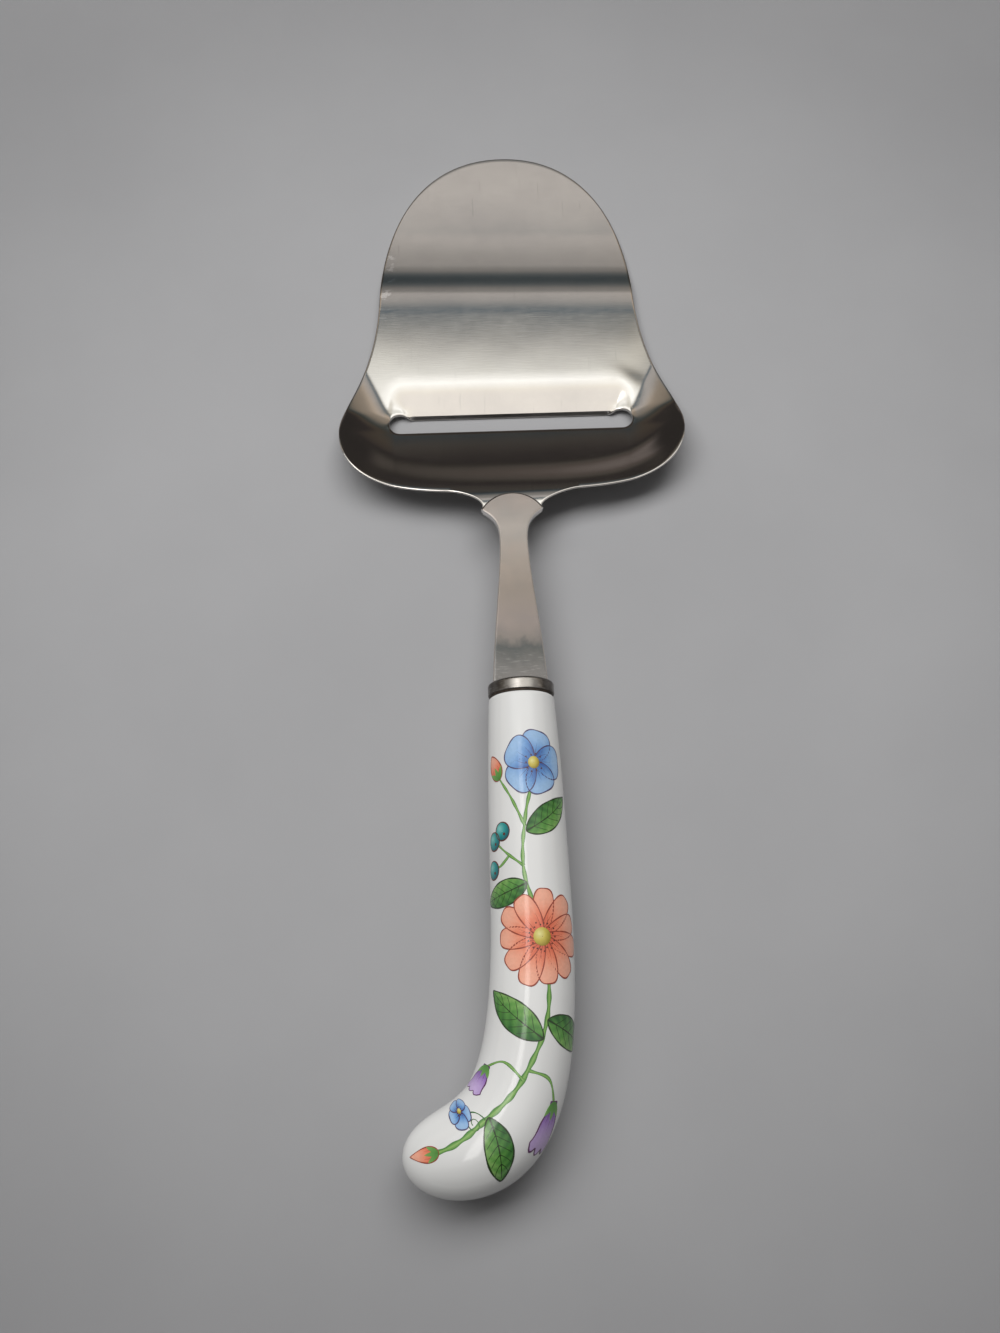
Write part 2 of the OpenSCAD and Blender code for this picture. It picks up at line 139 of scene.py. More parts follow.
def along(points, count, closed=False):
    """Points spread evenly along a line of points."""
    points = np.vstack([points, points[:1]]) if closed else np.asarray(points)
    run = np.r_[0, np.cumsum(np.hypot(*np.diff(points, axis=0).T[:2]))]
    at = np.linspace(0, run[-1], count, endpoint=not closed)
    return np.stack([np.interp(at, run, points[:, k]) for k in range(points.shape[1])], 1)


def outward(loop):
    """Outward directions at the points of a clockwise closed loop in the plane."""
    step = np.roll(loop, -1, 0) - np.roll(loop, 1, 0)
    step /= np.maximum(np.hypot(*step.T), 1e-9)[:, None]
    return np.stack([-step[:, 1], step[:, 0]], 1)


def mirrored(points):
    return points[::-1] * np.array([-1.0, 1.0])


def arc(centre, radius, first, last, count):
    """Points on a circle between two angles in degrees."""
    turn = np.radians(np.linspace(first, last, count))
    return centre + radius * np.stack([np.cos(turn), np.sin(turn)], 1)


# Meshes

def on_line(points):
    """Moves points to the line of the shank and grip, which is a little aside and turned."""
    x, y, z = (np.asarray(points, float) - [0, FLARE_Y, 0]).T
    turn, side = math.cos(LINE_LEAN), math.sin(LINE_LEAN)
    return np.stack([x * turn - y * side + LINE_ASIDE, x * side + y * turn + FLARE_Y, z], 1)


def new_object(name, data):
    thing = bpy.data.objects.new(name, data)
    bpy.context.scene.collection.objects.link(thing)
    return thing


def make_mesh(name, points, faces, colours=None):
    """Object from points in millimetres, smooth up to an angle between faces."""
    smooth_angle = 30
    mesh = bpy.data.meshes.new(name)
    placed = (np.asarray(points, float) - [0, MID_Y, 0]) * MM
    mesh.from_pydata(placed.tolist(), [], [tuple(int(k) for k in f) for f in faces])
    mesh.validate()
    mesh.polygons.foreach_set("use_smooth", np.ones(len(mesh.polygons), bool))
    mesh.set_sharp_from_angle(angle=math.radians(smooth_angle))
    if colours is not None:
        layer = mesh.color_attributes.new("print_colour", "FLOAT_COLOR", "POINT")
        layer.data.foreach_set("color", np.c_[colours, np.ones(len(colours))].ravel())
    mesh.update()
    return new_object(name, mesh)


def paint(piece, material):
    piece.data.materials.clear()
    piece.data.materials.append(material)


def add_piece(piece, slot, material, *nodes):
    paint(piece, material)
    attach(piece, "root")
    if nodes:
        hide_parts(*nodes)


def grid_quads(ids, skip=None):
    """Quads over a grid of point numbers, leaving out the cells that skip marks."""
    cells = np.stack([ids[:-1, :-1], ids[:-1, 1:], ids[1:, 1:], ids[1:, :-1]], -1)
    if skip is not None:
        return cells[~skip]
    return cells.reshape(-1, 4)


def loop_quads(first, second):
    """Quads between two closed loops of point numbers."""
    return np.stack([first, np.roll(first, -1), np.roll(second, -1), second], 1)


def tube_faces(loops):
    """Faces of a tube through closed loops of point numbers, with its first end filled."""
    quads = [list(q) for a, b in zip(loops, loops[1:]) for q in loop_quads(b, a)]
    return quads + [list(loops[0][::-1])]


def coons(top, right, bottom, left):
    """Plane grid inside four sides: top and bottom run left to right, the others down."""
    u = np.linspace(0, 1, len(top))[None, :, None]
    v = np.linspace(0, 1, len(left))[:, None, None]
    across = (1 - u) * left[:, None] + u * right[:, None]
    down = (1 - v) * top[None] + v * bottom[None]
    corners = ((1 - u) * (1 - v) * top[0] + u * (1 - v) * top[-1]
               + (1 - u) * v * bottom[0] + u * v * bottom[-1])
    return across + down - corners


def relax(grid, fixed, rounds):
    """Evens out the inner points of a grid, keeping those marked as fixed."""
    for _ in range(rounds):
        mean = (grid[:-2, 1:-1] + grid[2:, 1:-1] + grid[1:-1, :-2] + grid[1:-1, 2:]) / 4
        grid[1:-1, 1:-1] = np.where(fixed[1:-1, 1:-1, None], grid[1:-1, 1:-1], mean)


def edge_turns(steps=4):
    """Face, share outward and share upright of each step down round an edge."""
    turns = [math.radians(90 * k / steps) for k in range(1, steps + 1)]
    upper = [(1, math.sin(turn), math.cos(turn)) for turn in turns]
    return upper + [(-1, math.cos(turn), math.sin(turn)) for turn in turns[:-1]]


class Plate:
    """A sheet between two faces of a plan, with rounded or ground edges."""

    def __init__(self, middle, half):
        self.middle, self.half = middle, half
        self.plan, self.faces, self.edges = [], [], []
        self.count = 0

    def add(self, points):
        points = np.asarray(points).reshape(-1, 2)
        self.plan.append(points)
        self.count += len(points)
        return np.arange(self.count - len(points), self.count)

    def edge(self, ids, inset, bevel=0.0):
        self.edges.append(np.broadcast_arrays(ids, inset, bevel))

    def build(self):
        plan = np.vstack(self.plan)
        z, h = self.middle(*plan.T), self.half(*plan.T)
        points = [np.c_[plan, z + h], np.c_[plan, z - h]]
        quads = np.vstack(self.faces)
        faces = [quads[:, ::-1], quads + len(plan)]
        total = 2 * len(plan)
        for ids, inset, bevel in self.edges:
            way = outward(plan[ids])
            loops = [ids]
            for side, share, level in edge_turns():
                at = plan[ids] + way * (inset * share)[:, None]
                z, h = self.middle(*at.T), self.half(*at.T)
                rounded = side * (h - np.minimum(inset, EDGE_DROP) * (1 - level))
                ground = h * (1 - GROUND_DROP * share) if side > 0 else -h
                points.append(np.c_[at, z + mixed(rounded, ground, bevel)])
                loops.append(np.arange(total, total + len(ids)))
                total += len(ids)
            loops.append(ids + len(plan))
            faces += [loop_quads(a, b) for a, b in zip(loops, loops[1:])]
        faces = np.vstack(faces)
        used, numbers = np.unique(faces, return_inverse=True)
        return np.vstack(points)[used], numbers.reshape(faces.shape)


# The pressed sheet

def inside_lip(x, y):
    """Distance inside the lip's fold, which turns in a round corner to each end of the slot."""
    ax, ay = LIP_STEEP * (np.abs(x) - SLOT_HALF) + LIP_ROUND, y - LIP_LENGTH + LIP_ROUND
    hip = (ax + ay + np.hypot(ax - ay, HIP_SOFT)) / 2
    return LIP_ROUND - np.hypot(np.maximum(ax, 0), np.maximum(ay, 0)) - np.minimum(hip, 0)


def dish_swell(x, y):
    """Slight swell along the back of the dish, which bends forward to either side."""
    middle = SWELL_BEND * (np.abs(x) / SLOT_HALF) ** SWELL_ROUND - SWELL_BACK
    return SWELL_RISE * (1 + SWELL_SKEW * x) * ease((middle - y) / SWELL_WIDTH + 0.5)


def corner_dent(x, y):
    """Shallow dent in the plate, ahead of the right end of the slot."""
    dx, dy = x - DENT[0], y - DENT[1]
    length = (dx * DENT_WAY[0] + dy * DENT_WAY[1]) / DENT_LENGTH
    ahead = (dy * DENT_WAY[0] - dx * DENT_WAY[1]) / DENT_REACH
    return DENT_DEPTH * np.exp(-length ** 2) * (1 + np.tanh(ahead)) / 2


def sheet_z(x, y):
    """Height of the sheet's middle surface."""
    crease = SLOT_HALF - CREASE_INSET + CREASE_LEAN * (ramp(y + LEAN_PAST, LEAN_PAST) - LEAN_PAST)
    beside = ramp(np.abs(x) - crease, CREASE_SOFT)
    wing = WING_SLOPE * beside + WING_CURL * beside ** 2
    behind = ramp(WING_EARLY * beside - y - DISH_START, DISH_SOFT)
    dish = behind / (-RIM[1] - DISH_START + RIM_PAST)
    dish = mixed(dish, ease(dish ** DISH_LATE), DISH_BOW) * (1 + DISH_SKEW * x)
    raised = PLATE_Z + wing + (TAB_Z - PLATE_Z) * dish + dish_swell(x, y)
    level = TAB_Z - ramp(TAB_Z - raised, TAB_SOFT) - corner_dent(x, y)
    ahead = y + STEP_SKEW * x
    step = ease((ahead - STEP_AHEAD) / STEP_LENGTH)
    fold = ease((ahead - FOLD_AHEAD) / FOLD_LENGTH)
    crown_mid, crown_reach = (CROWN_AHEAD + LIP_LENGTH) / 2, (CROWN_AHEAD - LIP_LENGTH) / 2
    lip_slope = (STEP_RISE - EDGE_LIFT - CROWN_SLOPE * crown_mid) / LIP_LENGTH
    inside = inside_lip(x, y)
    crown = CROWN_SLOPE * ramp(inside + crown_mid - LIP_LENGTH, crown_reach)
    lip = np.where(y < -SLOT_GAP / 2, 0, crown + lip_slope * ramp(inside, LIP_SOFT))
    # The lift beyond the step keeps the twisted tip plate above the rest plane
    twist = TWIST * (x * ease((y - TWIST_AHEAD) / TWIST_LENGTH) - WAIST[0] * step)
    return level - twist - STEP_RISE * mixed(step, fold, FOLD_SHARE) - lip


def sheet_half(x, y):
    """Half the sheet's thickness, measured upright where it slopes."""
    near = 0.02
    away = np.where(y < -SLOT_GAP / 2, -near, near)
    z = sheet_z(x, y)
    slope = np.hypot(sheet_z(x + near, y) - z, sheet_z(x, y + away) - z) / near
    return SHEET / 2 * np.sqrt(1 + slope ** 2)


def blade_side():
    """Right half of the blade's outline from the tip to the neck, and the tab from there."""
    u = np.linspace(0, 1, 160)
    tab_half, tab_end = FLARE_HALF - TAB_INSET, CORNER_Y - TAB_PAST
    corner_pull = np.array([0, CORNER_PULL * (WING[1] - RIM[1])])
    tip = np.array([0, BLADE_FRONT])
    front = curve(tip, tip + [TIP_ROUND, 0], WAIST + WAIST_PULL, WAIST, u)
    wing = curve(WAIST, WAIST - WAIST_PULL, WING + WING_PULL, WING, u)
    rim = curve(WING, WING - corner_pull, RIM + RIM_PULL * RIM_WAY, RIM, u)
    low = np.array([tab_half, tab_end + TAB_CORNER])
    neck = curve(RIM, RIM - FILLET_PULL * RIM_WAY, low + [0, TAB_CORNER], low, u)
    end = arc(low - [TAB_CORNER, 0], TAB_CORNER, 0, -90, 20)
    return np.vstack([front, wing[1:], rim[1:]]), np.vstack([neck, end[1:]])


def slot_side(count_front, count_end, count_back):
    """Right half of the slot: the cutting edge and relief, the round end, and the rear edge."""
    centre = np.array([SLOT_HALF - RELIEF_R, RELIEF_R - SLOT_GAP])
    turns = (180 - math.degrees(math.asin(-centre[1] / RELIEF_R)), 45, -45, -90)
    front, end, back = (arc(centre, RELIEF_R, *ends, 40) for ends in zip(turns, turns[1:]))
    front, back = np.vstack([[0, 0], front]), np.vstack([back, [0, -SLOT_GAP]])
    return along(front, count_front), along(end, count_end), along(back, count_back)


def beside_line(points):
    """Moves the sheet's tab aside, to the line of the strip."""
    aside = LINE_ASIDE * ease((RIM[1] - points[..., 1]) / TAB_TURN)
    return points + np.stack([aside, np.zeros_like(aside)], -1)


# Cells of the blade's grid, and the corners of that grid on the outline: how far out they lie
# at least, and where along the blade
COLUMNS, ROWS, TAB_COLUMNS, TAB_ROWS = 168, 134, 56, 12
TAB_FIRST = (COLUMNS - TAB_COLUMNS) // 2
TAB_LAST = TAB_FIRST + TAB_COLUMNS
SHOULDER_SPOT, WING_SPOT = (20.0, 58.0), (30.0, -13.5)
EVEN_ROUNDS = 400


def blade_inside():
    """Right half of the outline and of the tab, drawn in by the rounding of the rim."""
    side, tab = blade_side()
    loop = np.vstack([side, tab[1:], mirrored(tab[1:]), mirrored(side)[:-1]])
    inner = loop - outward(loop) * RIM_R
    side, tab = inner[:len(side)], inner[len(side) - 1:len(side) + len(tab) - 1]
    side[0, 0] = 0
    return side, tab


def nearest(side, out, y):
    """Number of the outline's point that is nearest to y, of those at least so far out."""
    return int(np.argmin(np.where(side[:, 0] < out, np.inf, np.abs(side[:, 1] - y))))


def blade_grid(side):
    """Grid of plane points inside the blade's outline, with no slot yet."""
    shoulder, wing_end = nearest(side, *SHOULDER_SPOT), nearest(side, *WING_SPOT)
    tip_half = along(side[:shoulder + 1], COLUMNS // 2 + 1)
    right = along(side[shoulder:wing_end + 1], ROWS + 1)
    rim_half = along(side[wing_end:], TAB_FIRST + 1)
    bridge = np.linspace(rim_half[-1] * [-1, 1], rim_half[-1], TAB_COLUMNS + 1)
    bottom = np.vstack([rim_half * [-1, 1], bridge[1:-1], rim_half[::-1]])
    top = np.vstack([mirrored(tip_half)[:-1], tip_half])
    return coons(top, right, bottom, right * [-1, 1])


def slot_ring(half, height):
    """Loop round the slot, drawn back into the sheet, with its inset and its share of grinding."""
    front, end, back = slot_side(half, height, half)
    ring = np.vstack([mirrored(front)[:-1], front, end[1:], back[1:], mirrored(back)[1:],
                      mirrored(end)[1:-1]])
    way = outward(ring)
    for _ in range(3):
        way = (np.roll(way, 1, 0) + way * 2 + np.roll(way, -1, 0)) / 4
    way /= np.hypot(*way.T)[:, None]
    cutting = (np.abs(ring[:, 1]) < 0.01) * ease((CUT_HALF - np.abs(ring[:, 0])) / CUT_FADE)
    inset = mixed(SLOT_R, BEVEL, cutting)
    return ring + way * inset[:, None], inset, cutting


def cut_slot(grid):
    """Fits the slot into the grid. Gives its spots, its cells, its inset and its grinding."""
    middle = COLUMNS // 2
    front_row = int(np.argmin(np.abs(grid[:, middle, 1] - BEVEL)))
    back_row = int(np.argmin(np.abs(grid[:, middle, 1] + SLOT_GAP)))
    last = int(np.argmin(np.abs(grid[(front_row + back_row) // 2, :, 0] - SLOT_HALF)))
    first = COLUMNS - last
    ring, inset, cutting = slot_ring(last - middle + 1, back_row - front_row + 1)
    spots = ([(front_row, j) for j in range(first, last + 1)]
             + [(i, last) for i in range(front_row + 1, back_row + 1)]
             + [(back_row, j) for j in range(last - 1, first - 1, -1)]
             + [(i, first) for i in range(back_row - 1, front_row, -1)])
    fixed = np.zeros(grid.shape[:2], bool)
    for spot, place in zip(spots, ring):
        grid[spot] = place
        fixed[spot] = True
    hole = np.zeros((ROWS, COLUMNS), bool)
    hole[front_row:back_row, first:last] = True
    relax(grid, fixed, EVEN_ROUNDS)
    return spots, hole, inset, cutting


def make_blade():
    side, tab = blade_inside()
    grid = blade_grid(side)
    spots, hole, inset, cutting = cut_slot(grid)
    plate = Plate(sheet_z, sheet_half)
    ids = plate.add(beside_line(grid)).reshape(ROWS + 1, COLUMNS + 1)
    plate.faces.append(grid_quads(ids, hole))
    tab_side = along(tab, TAB_ROWS + 1)[1:]
    tab_grid = np.stack([np.linspace(p * [-1, 1], p, TAB_COLUMNS + 1) for p in tab_side])
    neck_ids = ids[-1, TAB_FIRST:TAB_LAST + 1]
    tab_ids = np.vstack([neck_ids, plate.add(beside_line(tab_grid)).reshape(TAB_ROWS, -1)])
    plate.faces.append(grid_quads(tab_ids))
    rim_loop = np.r_[ids[0], ids[1:, -1], ids[-1, -2:TAB_LAST - 1:-1], tab_ids[1:, -1],
                     tab_ids[-1, -2::-1], tab_ids[-2:0:-1, 0], neck_ids[:1],
                     ids[-1, TAB_FIRST - 1::-1], ids[-2:0:-1, 0]]
    plate.edge(rim_loop, RIM_R)
    slot_loop = np.array([ids[s] for s in spots])
    plate.edge(slot_loop[::-1], inset[::-1], cutting[::-1])
    return make_mesh("blade_sheet", *plate.build())


# The shank

def strip_side():
    """Right half of the strip's outline, and how many of its points are on the round end."""
    radius = (FLARE_HALF ** 2 + FLARE_CROWN ** 2) / (2 * FLARE_CROWN)
    end = arc([0, FLARE_Y - radius], radius, 90, math.degrees(math.acos(FLARE_HALF / radius)), 60)
    u = np.linspace(0, 1, 80)
    corner, neck = end[-1], np.array([NECK_HALF, CORNER_Y - NECK_RUN])
    shoulder = np.array([SHOULDER_HALF, FERRULE_Y])
    flare = curve(corner, corner + FLARE_PULL, neck + NECK_PULL, neck, u)
    run = curve(neck, neck - RUN_PULL, shoulder + SHOULDER_PULL, shoulder, u)
    tang_end = FERRULE_Y - TANG_LENGTH
    tang = np.array([[TANG_HALF, FERRULE_Y], [TANG_HALF, tang_end + TANG_CORNER],
                     [TANG_HALF - TANG_CORNER, tang_end]])
    return np.vstack([end, flare[1:], run[1:], tang]), len(end)


def make_shank():
    columns, rows = 24, 210
    side, round_end = strip_side()
    loop = np.vstack([side, mirrored(side)[:-1]])
    inner = (loop - outward(loop) * STRIP_R)[:len(side)]
    inner[0, 0] = 0
    tip = along(inner[:round_end], columns // 2 + 1)
    right = along(inner[round_end - 1:], rows + 1)
    top = np.vstack([mirrored(tip)[:-1], tip])
    bottom = np.linspace(right[-1] * [-1, 1], right[-1], columns + 1)
    grid = coons(top, right, bottom, right * [-1, 1])

    plate = Plate(lambda x, y: np.full(len(x), AXIS_Z), lambda x, y: np.full(len(x), SHANK_T / 2))
    ids = plate.add(grid).reshape(rows + 1, columns + 1)
    plate.faces.append(grid_quads(ids))
    rim_loop = np.r_[ids[0], ids[1:, -1], ids[-1, -2::-1], ids[-2:0:-1, 0]]
    plate.edge(rim_loop, STRIP_R)
    points, faces = plate.build()
    return make_mesh("shank_strip", on_line(points), faces)


# Ferrule

def make_ferrule():
    front_r, back_r, hole_r, flat_r, sides = 0.5, 0.25, 0.6, 6.2, 128
    inner_r, back_y = FERRULE_R - FERRULE_WALL, FERRULE_Y - FERRULE_H
    flat = np.linspace([hole_r, FERRULE_Y], [flat_r, FERRULE_Y], 8)
    front = arc([FERRULE_R - front_r, FERRULE_Y - front_r], front_r, 90, 0, 7)
    back = arc([FERRULE_R - back_r, back_y + back_r], back_r, 0, -90, 7)
    band = np.linspace(front[-1], back[0], 7)[1:-1]
    inside = np.array([[inner_r, back_y], [inner_r, FERRULE_Y - FERRULE_WALL],
                       [hole_r, FERRULE_Y - FERRULE_WALL]])
    profile = np.vstack([flat, front, band, back, inside])
    angle = np.linspace(0, 2 * math.pi, sides, endpoint=False)
    points = np.stack([np.outer(profile[:, 0], np.sin(angle)),
                       np.repeat(profile[:, 1:], sides, 1),
                       AXIS_Z + np.outer(profile[:, 0], np.cos(angle))], -1).reshape(-1, 3)
    ids = np.arange(len(points)).reshape(len(profile), sides)
    return make_mesh("ferrule_band", on_line(points), tube_faces(ids) + [list(ids[-1])])


# The grip's surface

def grip_path():
    """Middle line of the grip from the ferrule on, its length so far, and its way."""
    straight_steps, bend_steps = 400, 1600
    straight = -np.linspace(0, GRIP_STRAIGHT, straight_steps, endpoint=False)
    end = np.array([-TAIL_REACH, -GRIP_DROP])
    bend = curve(np.zeros(2), np.array([0, BEND_LATE - GRIP_DROP]), end + [TAIL_PULL, 0], end,
                 np.linspace(0, 1, bend_steps))
    line = np.vstack([np.c_[np.zeros(straight_steps), straight], bend - [0, GRIP_STRAIGHT]])
    run = np.r_[0, np.cumsum(np.hypot(*np.diff(line, axis=0).T))]
    way = np.gradient(line, run, axis=0)
    return line, run, way / np.hypot(*way.T)[:, None]


GRIP_LINE, GRIP_RUN, GRIP_WAY = grip_path()
GRIP_LENGTH = GRIP_RUN[-1]
GRIP_END = GRIP_LENGTH - GLAZE_IN


def grip_half(pulls, s):
    """Half width or height of the grip at a length s, just inside the solid's surface."""
    cap = np.clip((s - GRIP_END + TAIL_ROUND) / TAIL_ROUND, 0, 1)
    back = np.clip(GRIP_EDGE - s, 0, GRIP_EDGE)
    edge = GRIP_EDGE - np.sqrt(GRIP_EDGE ** 2 - back ** 2)
    return (curve(GRIP_R, *pulls, s / GRIP_LENGTH) - edge - GLAZE_IN) * np.sqrt(1 - cap ** 2)


def on_grip(s, angle, lift=0.0):
    """Points of the grip's surface at length s and angle from the top, lifted off the glaze."""
    s, angle = np.broadcast_arrays(s, angle)

    def place(s, angle):
        centre = np.stack([np.interp(s, GRIP_RUN, GRIP_LINE[:, k]) for k in (0, 1)], -1)
        way = np.stack([np.interp(s, GRIP_RUN, GRIP_WAY[:, k]) for k in (0, 1)], -1)
        across = grip_half(SIDE_SWELL, s) * np.sin(angle)
        up = grip_half(HEIGHT_SWELL, s) * np.cos(angle)
        return np.stack([centre[..., 0] - way[..., 1] * across,
                         GRIP_Y + centre[..., 1] + way[..., 0] * across, AXIS_Z + up], -1)

    point = place(s, angle)
    if np.any(lift):
        turn, step = 0.01, 0.05
        normal = np.cross(place(s, angle + turn) - place(s, angle - turn),
                          place(s - step, angle) - place(s + step, angle))
        normal /= np.linalg.norm(normal, axis=-1, keepdims=True)
        point = point + normal * np.asarray(lift)[..., None]
    return point


def make_grip():
    sides, rings = 144, 250
    edge = GRIP_EDGE * (1 - np.cos(np.radians(np.linspace(0, 90, 8))))
    body = np.linspace(GRIP_EDGE, GRIP_END - TAIL_ROUND / 2, rings)[1:]
    cap = GRIP_END - TAIL_ROUND / 2 * (1 - np.sin(np.radians(np.linspace(0, 89, 70)[1:])))
    s = np.r_[edge, body, cap]
    angle = np.linspace(0, 2 * math.pi, sides, endpoint=False)
    points = on_grip(s[:, None], angle[None]).reshape(-1, 3)
    ids = np.arange(len(points)).reshape(len(s), sides)
    points = np.vstack([points, on_grip(GRIP_END, 0.0)[None]])
    tail = [[a, b, len(points) - 1] for a, b in zip(ids[-1], np.roll(ids[-1], -1))]
    return make_mesh("grip_porcelain", on_line(points), tube_faces(ids) + tail)


# Materials

class Nodes:
    """Short way to write a node tree."""

    def __init__(self, tree):
        self.tree = tree
        tree.nodes.clear()

    def add(self, kind, inputs=None, **settings):
        """New node. An input is another node's output, or a value."""
        node = self.tree.nodes.new("ShaderNode" + kind)
        for key, value in settings.items():
            setattr(node, key, value)
        for key, value in (inputs or {}).items():
            socket = node.inputs[key]
            if isinstance(value, bpy.types.NodeSocket):
                self.tree.links.new(value, socket)
            elif socket.type == "RGBA" and len(value) == 3:
                socket.default_value = (*value, 1)
            else:
                socket.default_value = value
        return node

    def get(self, kind, inputs=None, **settings):
        return self.add(kind, inputs, **settings).outputs[0]

    def math(self, operation, *values):
        return self.get("Math", dict(enumerate(values)), operation=operation)

    def times(self, first, *others):
        for other in others:
            first = self.math("MULTIPLY", first, other)
        return first

    def split(self, vector):
        return self.add("SeparateXYZ", {0: vector}).outputs

    def noise(self, where, scale, detail=4.0, rough=0.55):
        inputs = {"Vector": where, "Scale": scale, "Detail": detail, "Roughness": rough}
        return self.add("TexNoise", inputs).outputs["Fac"]

    def streaks(self, where, scale, detail=4.0, rough=0.55, turn=0):
        """Noise with its own scale along each axis, turned by degrees about the upright one."""
        rotation = (0, 0, math.radians(turn))
        place = self.get("Mapping", {"Vector": where, "Rotation": rotation, "Scale": scale})
        return self.noise(place, 1.0, detail, rough)

    def swing(self, noise, size):
        """Noise as a swing to either side of 0."""
        return self.times(self.math("SUBTRACT", noise, 0.5), size)

    def ramp(self, fac, *stops, mode="LINEAR"):
        node = self.add("ValToRGB", {"Fac": fac})
        node.color_ramp.interpolation = mode
        elements = node.color_ramp.elements
        while len(elements) < len(stops):
            elements.new(0.5)
        for element, (place, colour) in zip(elements, stops):
            element.position = place
            element.color = (*colour, 1)
        return node.outputs["Color"]

    def blend(self, fac, a, b, mode="MIX"):
        return self.add("Mix", {0: fac, 6: a, 7: b}, data_type="RGBA", blend_type=mode).outputs[2]

    def tinted(self, colour, tint):
        return self.blend(1.0, colour, tint, "MULTIPLY")

    def mapped(self, value, first, last, low, high, **settings):
        """Carries a value from the range first to last over to the range low to high."""
        inputs = dict(enumerate((value, first, last, low, high)))
        return self.get("MapRange", inputs, **settings)

    def band(self, value, low, high):
        """Share that runs smoothly from 0 at low to 1 at high, or back where low is the larger."""
        ends = (0.0, 1.0) if low < high else (1.0, 0.0)
        return self.mapped(value, *sorted((low, high)), *ends, interpolation_type="SMOOTHSTEP")

    def span(self, value, rise, fall):
        """Share that rises smoothly over the first two values and falls over the last two."""
        return self.times(self.band(value, *rise), self.band(value, *fall[::-1]))


def new_material(name):
    """New material, its nodes, and the place on the object that its patterns follow."""
    material = bpy.data.materials.new(name)
    material.use_nodes = True
    n = Nodes(material.node_tree)
    return material, n, n.add("TexCoord").outputs["Object"]


def finish_surface(n, colour, roughness, metallic=0.0, bump=None, bump_depth=0.0):
    inputs = {"Base Color": colour, "Roughness": roughness, "Metallic": metallic}
    if bump is not None:
        inputs["Normal"] = n.get("Bump", {"Height": bump, "Distance": bump_depth, "Strength": 1.0})
    n.add("OutputMaterial", {"Surface": n.get("BsdfPrincipled", inputs)})


def brushed_metal(n, where, colour, roughness, smudge, waves, wave_depth):
    """Satin metal: fine brushing across the slicer, smudged gloss, and a slightly uneven face."""
    brushed = n.streaks(where, (300, 5200, 300), 3.0)
    marks = n.streaks(where, (420, 160, 300), 6.0, 0.7)
    rough = n.math("ADD", n.math("ADD", n.swing(marks, smudge), n.swing(brushed, 0.08)), roughness)
    # Heights are in metres
    hairs = n.times(brushed, 0.0000012)
    uneven = n.times(n.noise(where, waves, 2.0), wave_depth)
    finish_surface(n, colour, rough, 1.0, n.math("ADD", hairs, uneven), 1.0)


def facing_up(n):
    """How far the surface faces up, from -1 to 1."""
    return n.split(n.add("NewGeometry").outputs["Normal"])[2]


def blade_steel():
    """Satin steel with warm and cool clouds, a lighter tip, and nicks along the left edge."""
    # Places on the blade, in metres
    tip_start, tip_end, tip_gain = 0.091, 0.121, 1.35
    nick_side, nick_rise, nick_fall = (-0.0262, -0.0285), (0.074, 0.080), (0.093, 0.099)
    material, n, where = new_material("blade_satin_steel")
    x, y, _ = n.split(where)
    clouds = n.noise(where, 55, 5.0, 0.6)
    colour = n.ramp(clouds, (0.3, (0.578, 0.556, 0.532)), (0.7, (0.652, 0.627, 0.592)))
    tip = n.mapped(y, tip_start, tip_end, 1.0, tip_gain)
    colour = n.tinted(colour, n.get("CombineColor", {0: tip, 1: tip, 2: tip}))
    # Hairline scratches, mostly lengthwise
    hairs = n.streaks(where, (2600, 90, 300), 2.0, 0.4)
    colour = n.blend(n.times(n.band(hairs, 0.68, 0.76), 0.2), colour, (0.42, 0.405, 0.385))
    # Nicks and scuffs where the left edge runs past the step
    edge = n.times(n.band(x, *nick_side), n.span(y, nick_rise, nick_fall))
    chips = n.streaks(where, (420, 640, 300), 5.0, 0.6)
    colour = n.blend(n.times(n.band(chips, 0.53, 0.66), edge, 0.8), colour, (0.92, 0.9, 0.88))
    brushed_metal(n, where, colour, 0.10, 0.03, 30, 0.00006)
    return material


def shank_steel():
    """Warm steel with wear, painted highlights on its sides and rounded edges, and a dark
    scratched tarnish by the ferrule.
    """
    material, n, where = new_material("shank_worn_steel_painted_edges")
    front, back = (FLARE_Y - MID_Y) * MM, (FERRULE_Y - MID_Y) * MM
    share = n.math("DIVIDE", n.math("SUBTRACT", n.split(where)[1], front), back - front)
    share = n.math("ADD", share, n.swing(n.streaks(where, (330, 260, 300), 5.0, 0.65), 0.12))
    colour = n.ramp(
        share,
        # Round end and neck
        (0.0, (0.245, 0.215, 0.198)),
        (0.2, (0.287, 0.265, 0.246)),
        # Worn middle
        (0.36, (0.262, 0.230, 0.205)),
        (0.52, (0.222, 0.193, 0.171)),
        (0.68, (0.221, 0.195, 0.184)),
        (0.76, (0.190, 0.172, 0.162)),
        # Tarnish
        (0.815, (0.088, 0.094, 0.094)),
        (0.86, (0.112, 0.114, 0.112)),
        (0.94, (0.160, 0.157, 0.156)),
        (1.0, (0.150, 0.146, 0.142)))
    clouds = n.noise(where, 190, 5.0, 0.6)
    colour = n.tinted(colour, n.ramp(clouds, (0.3, (0.94, 0.95, 0.96)), (0.7, (1.06, 1.04, 1.03))))
    # Short slanting scratches show bright in the tarnish
    hairs = n.band(n.streaks(where, (420, 2600, 300), 2.0, 0.5, 35), 0.54, 0.72)
    scratches = n.times(hairs, n.band(share, 0.80, 0.90), 0.4)
    colour = n.blend(scratches, colour, (0.3, 0.295, 0.29))
    # Painted highlight: faces that turn away from straight up, the sides and rounded edges, are
    # painted lighter
    edges = n.band(facing_up(n), 0.985, 0.86)
    colour = n.blend(edges, colour, (0.78, 0.755, 0.73))
    brushed_metal(n, where, colour, 0.2, 0.06, 60, 0.00002)
    return material


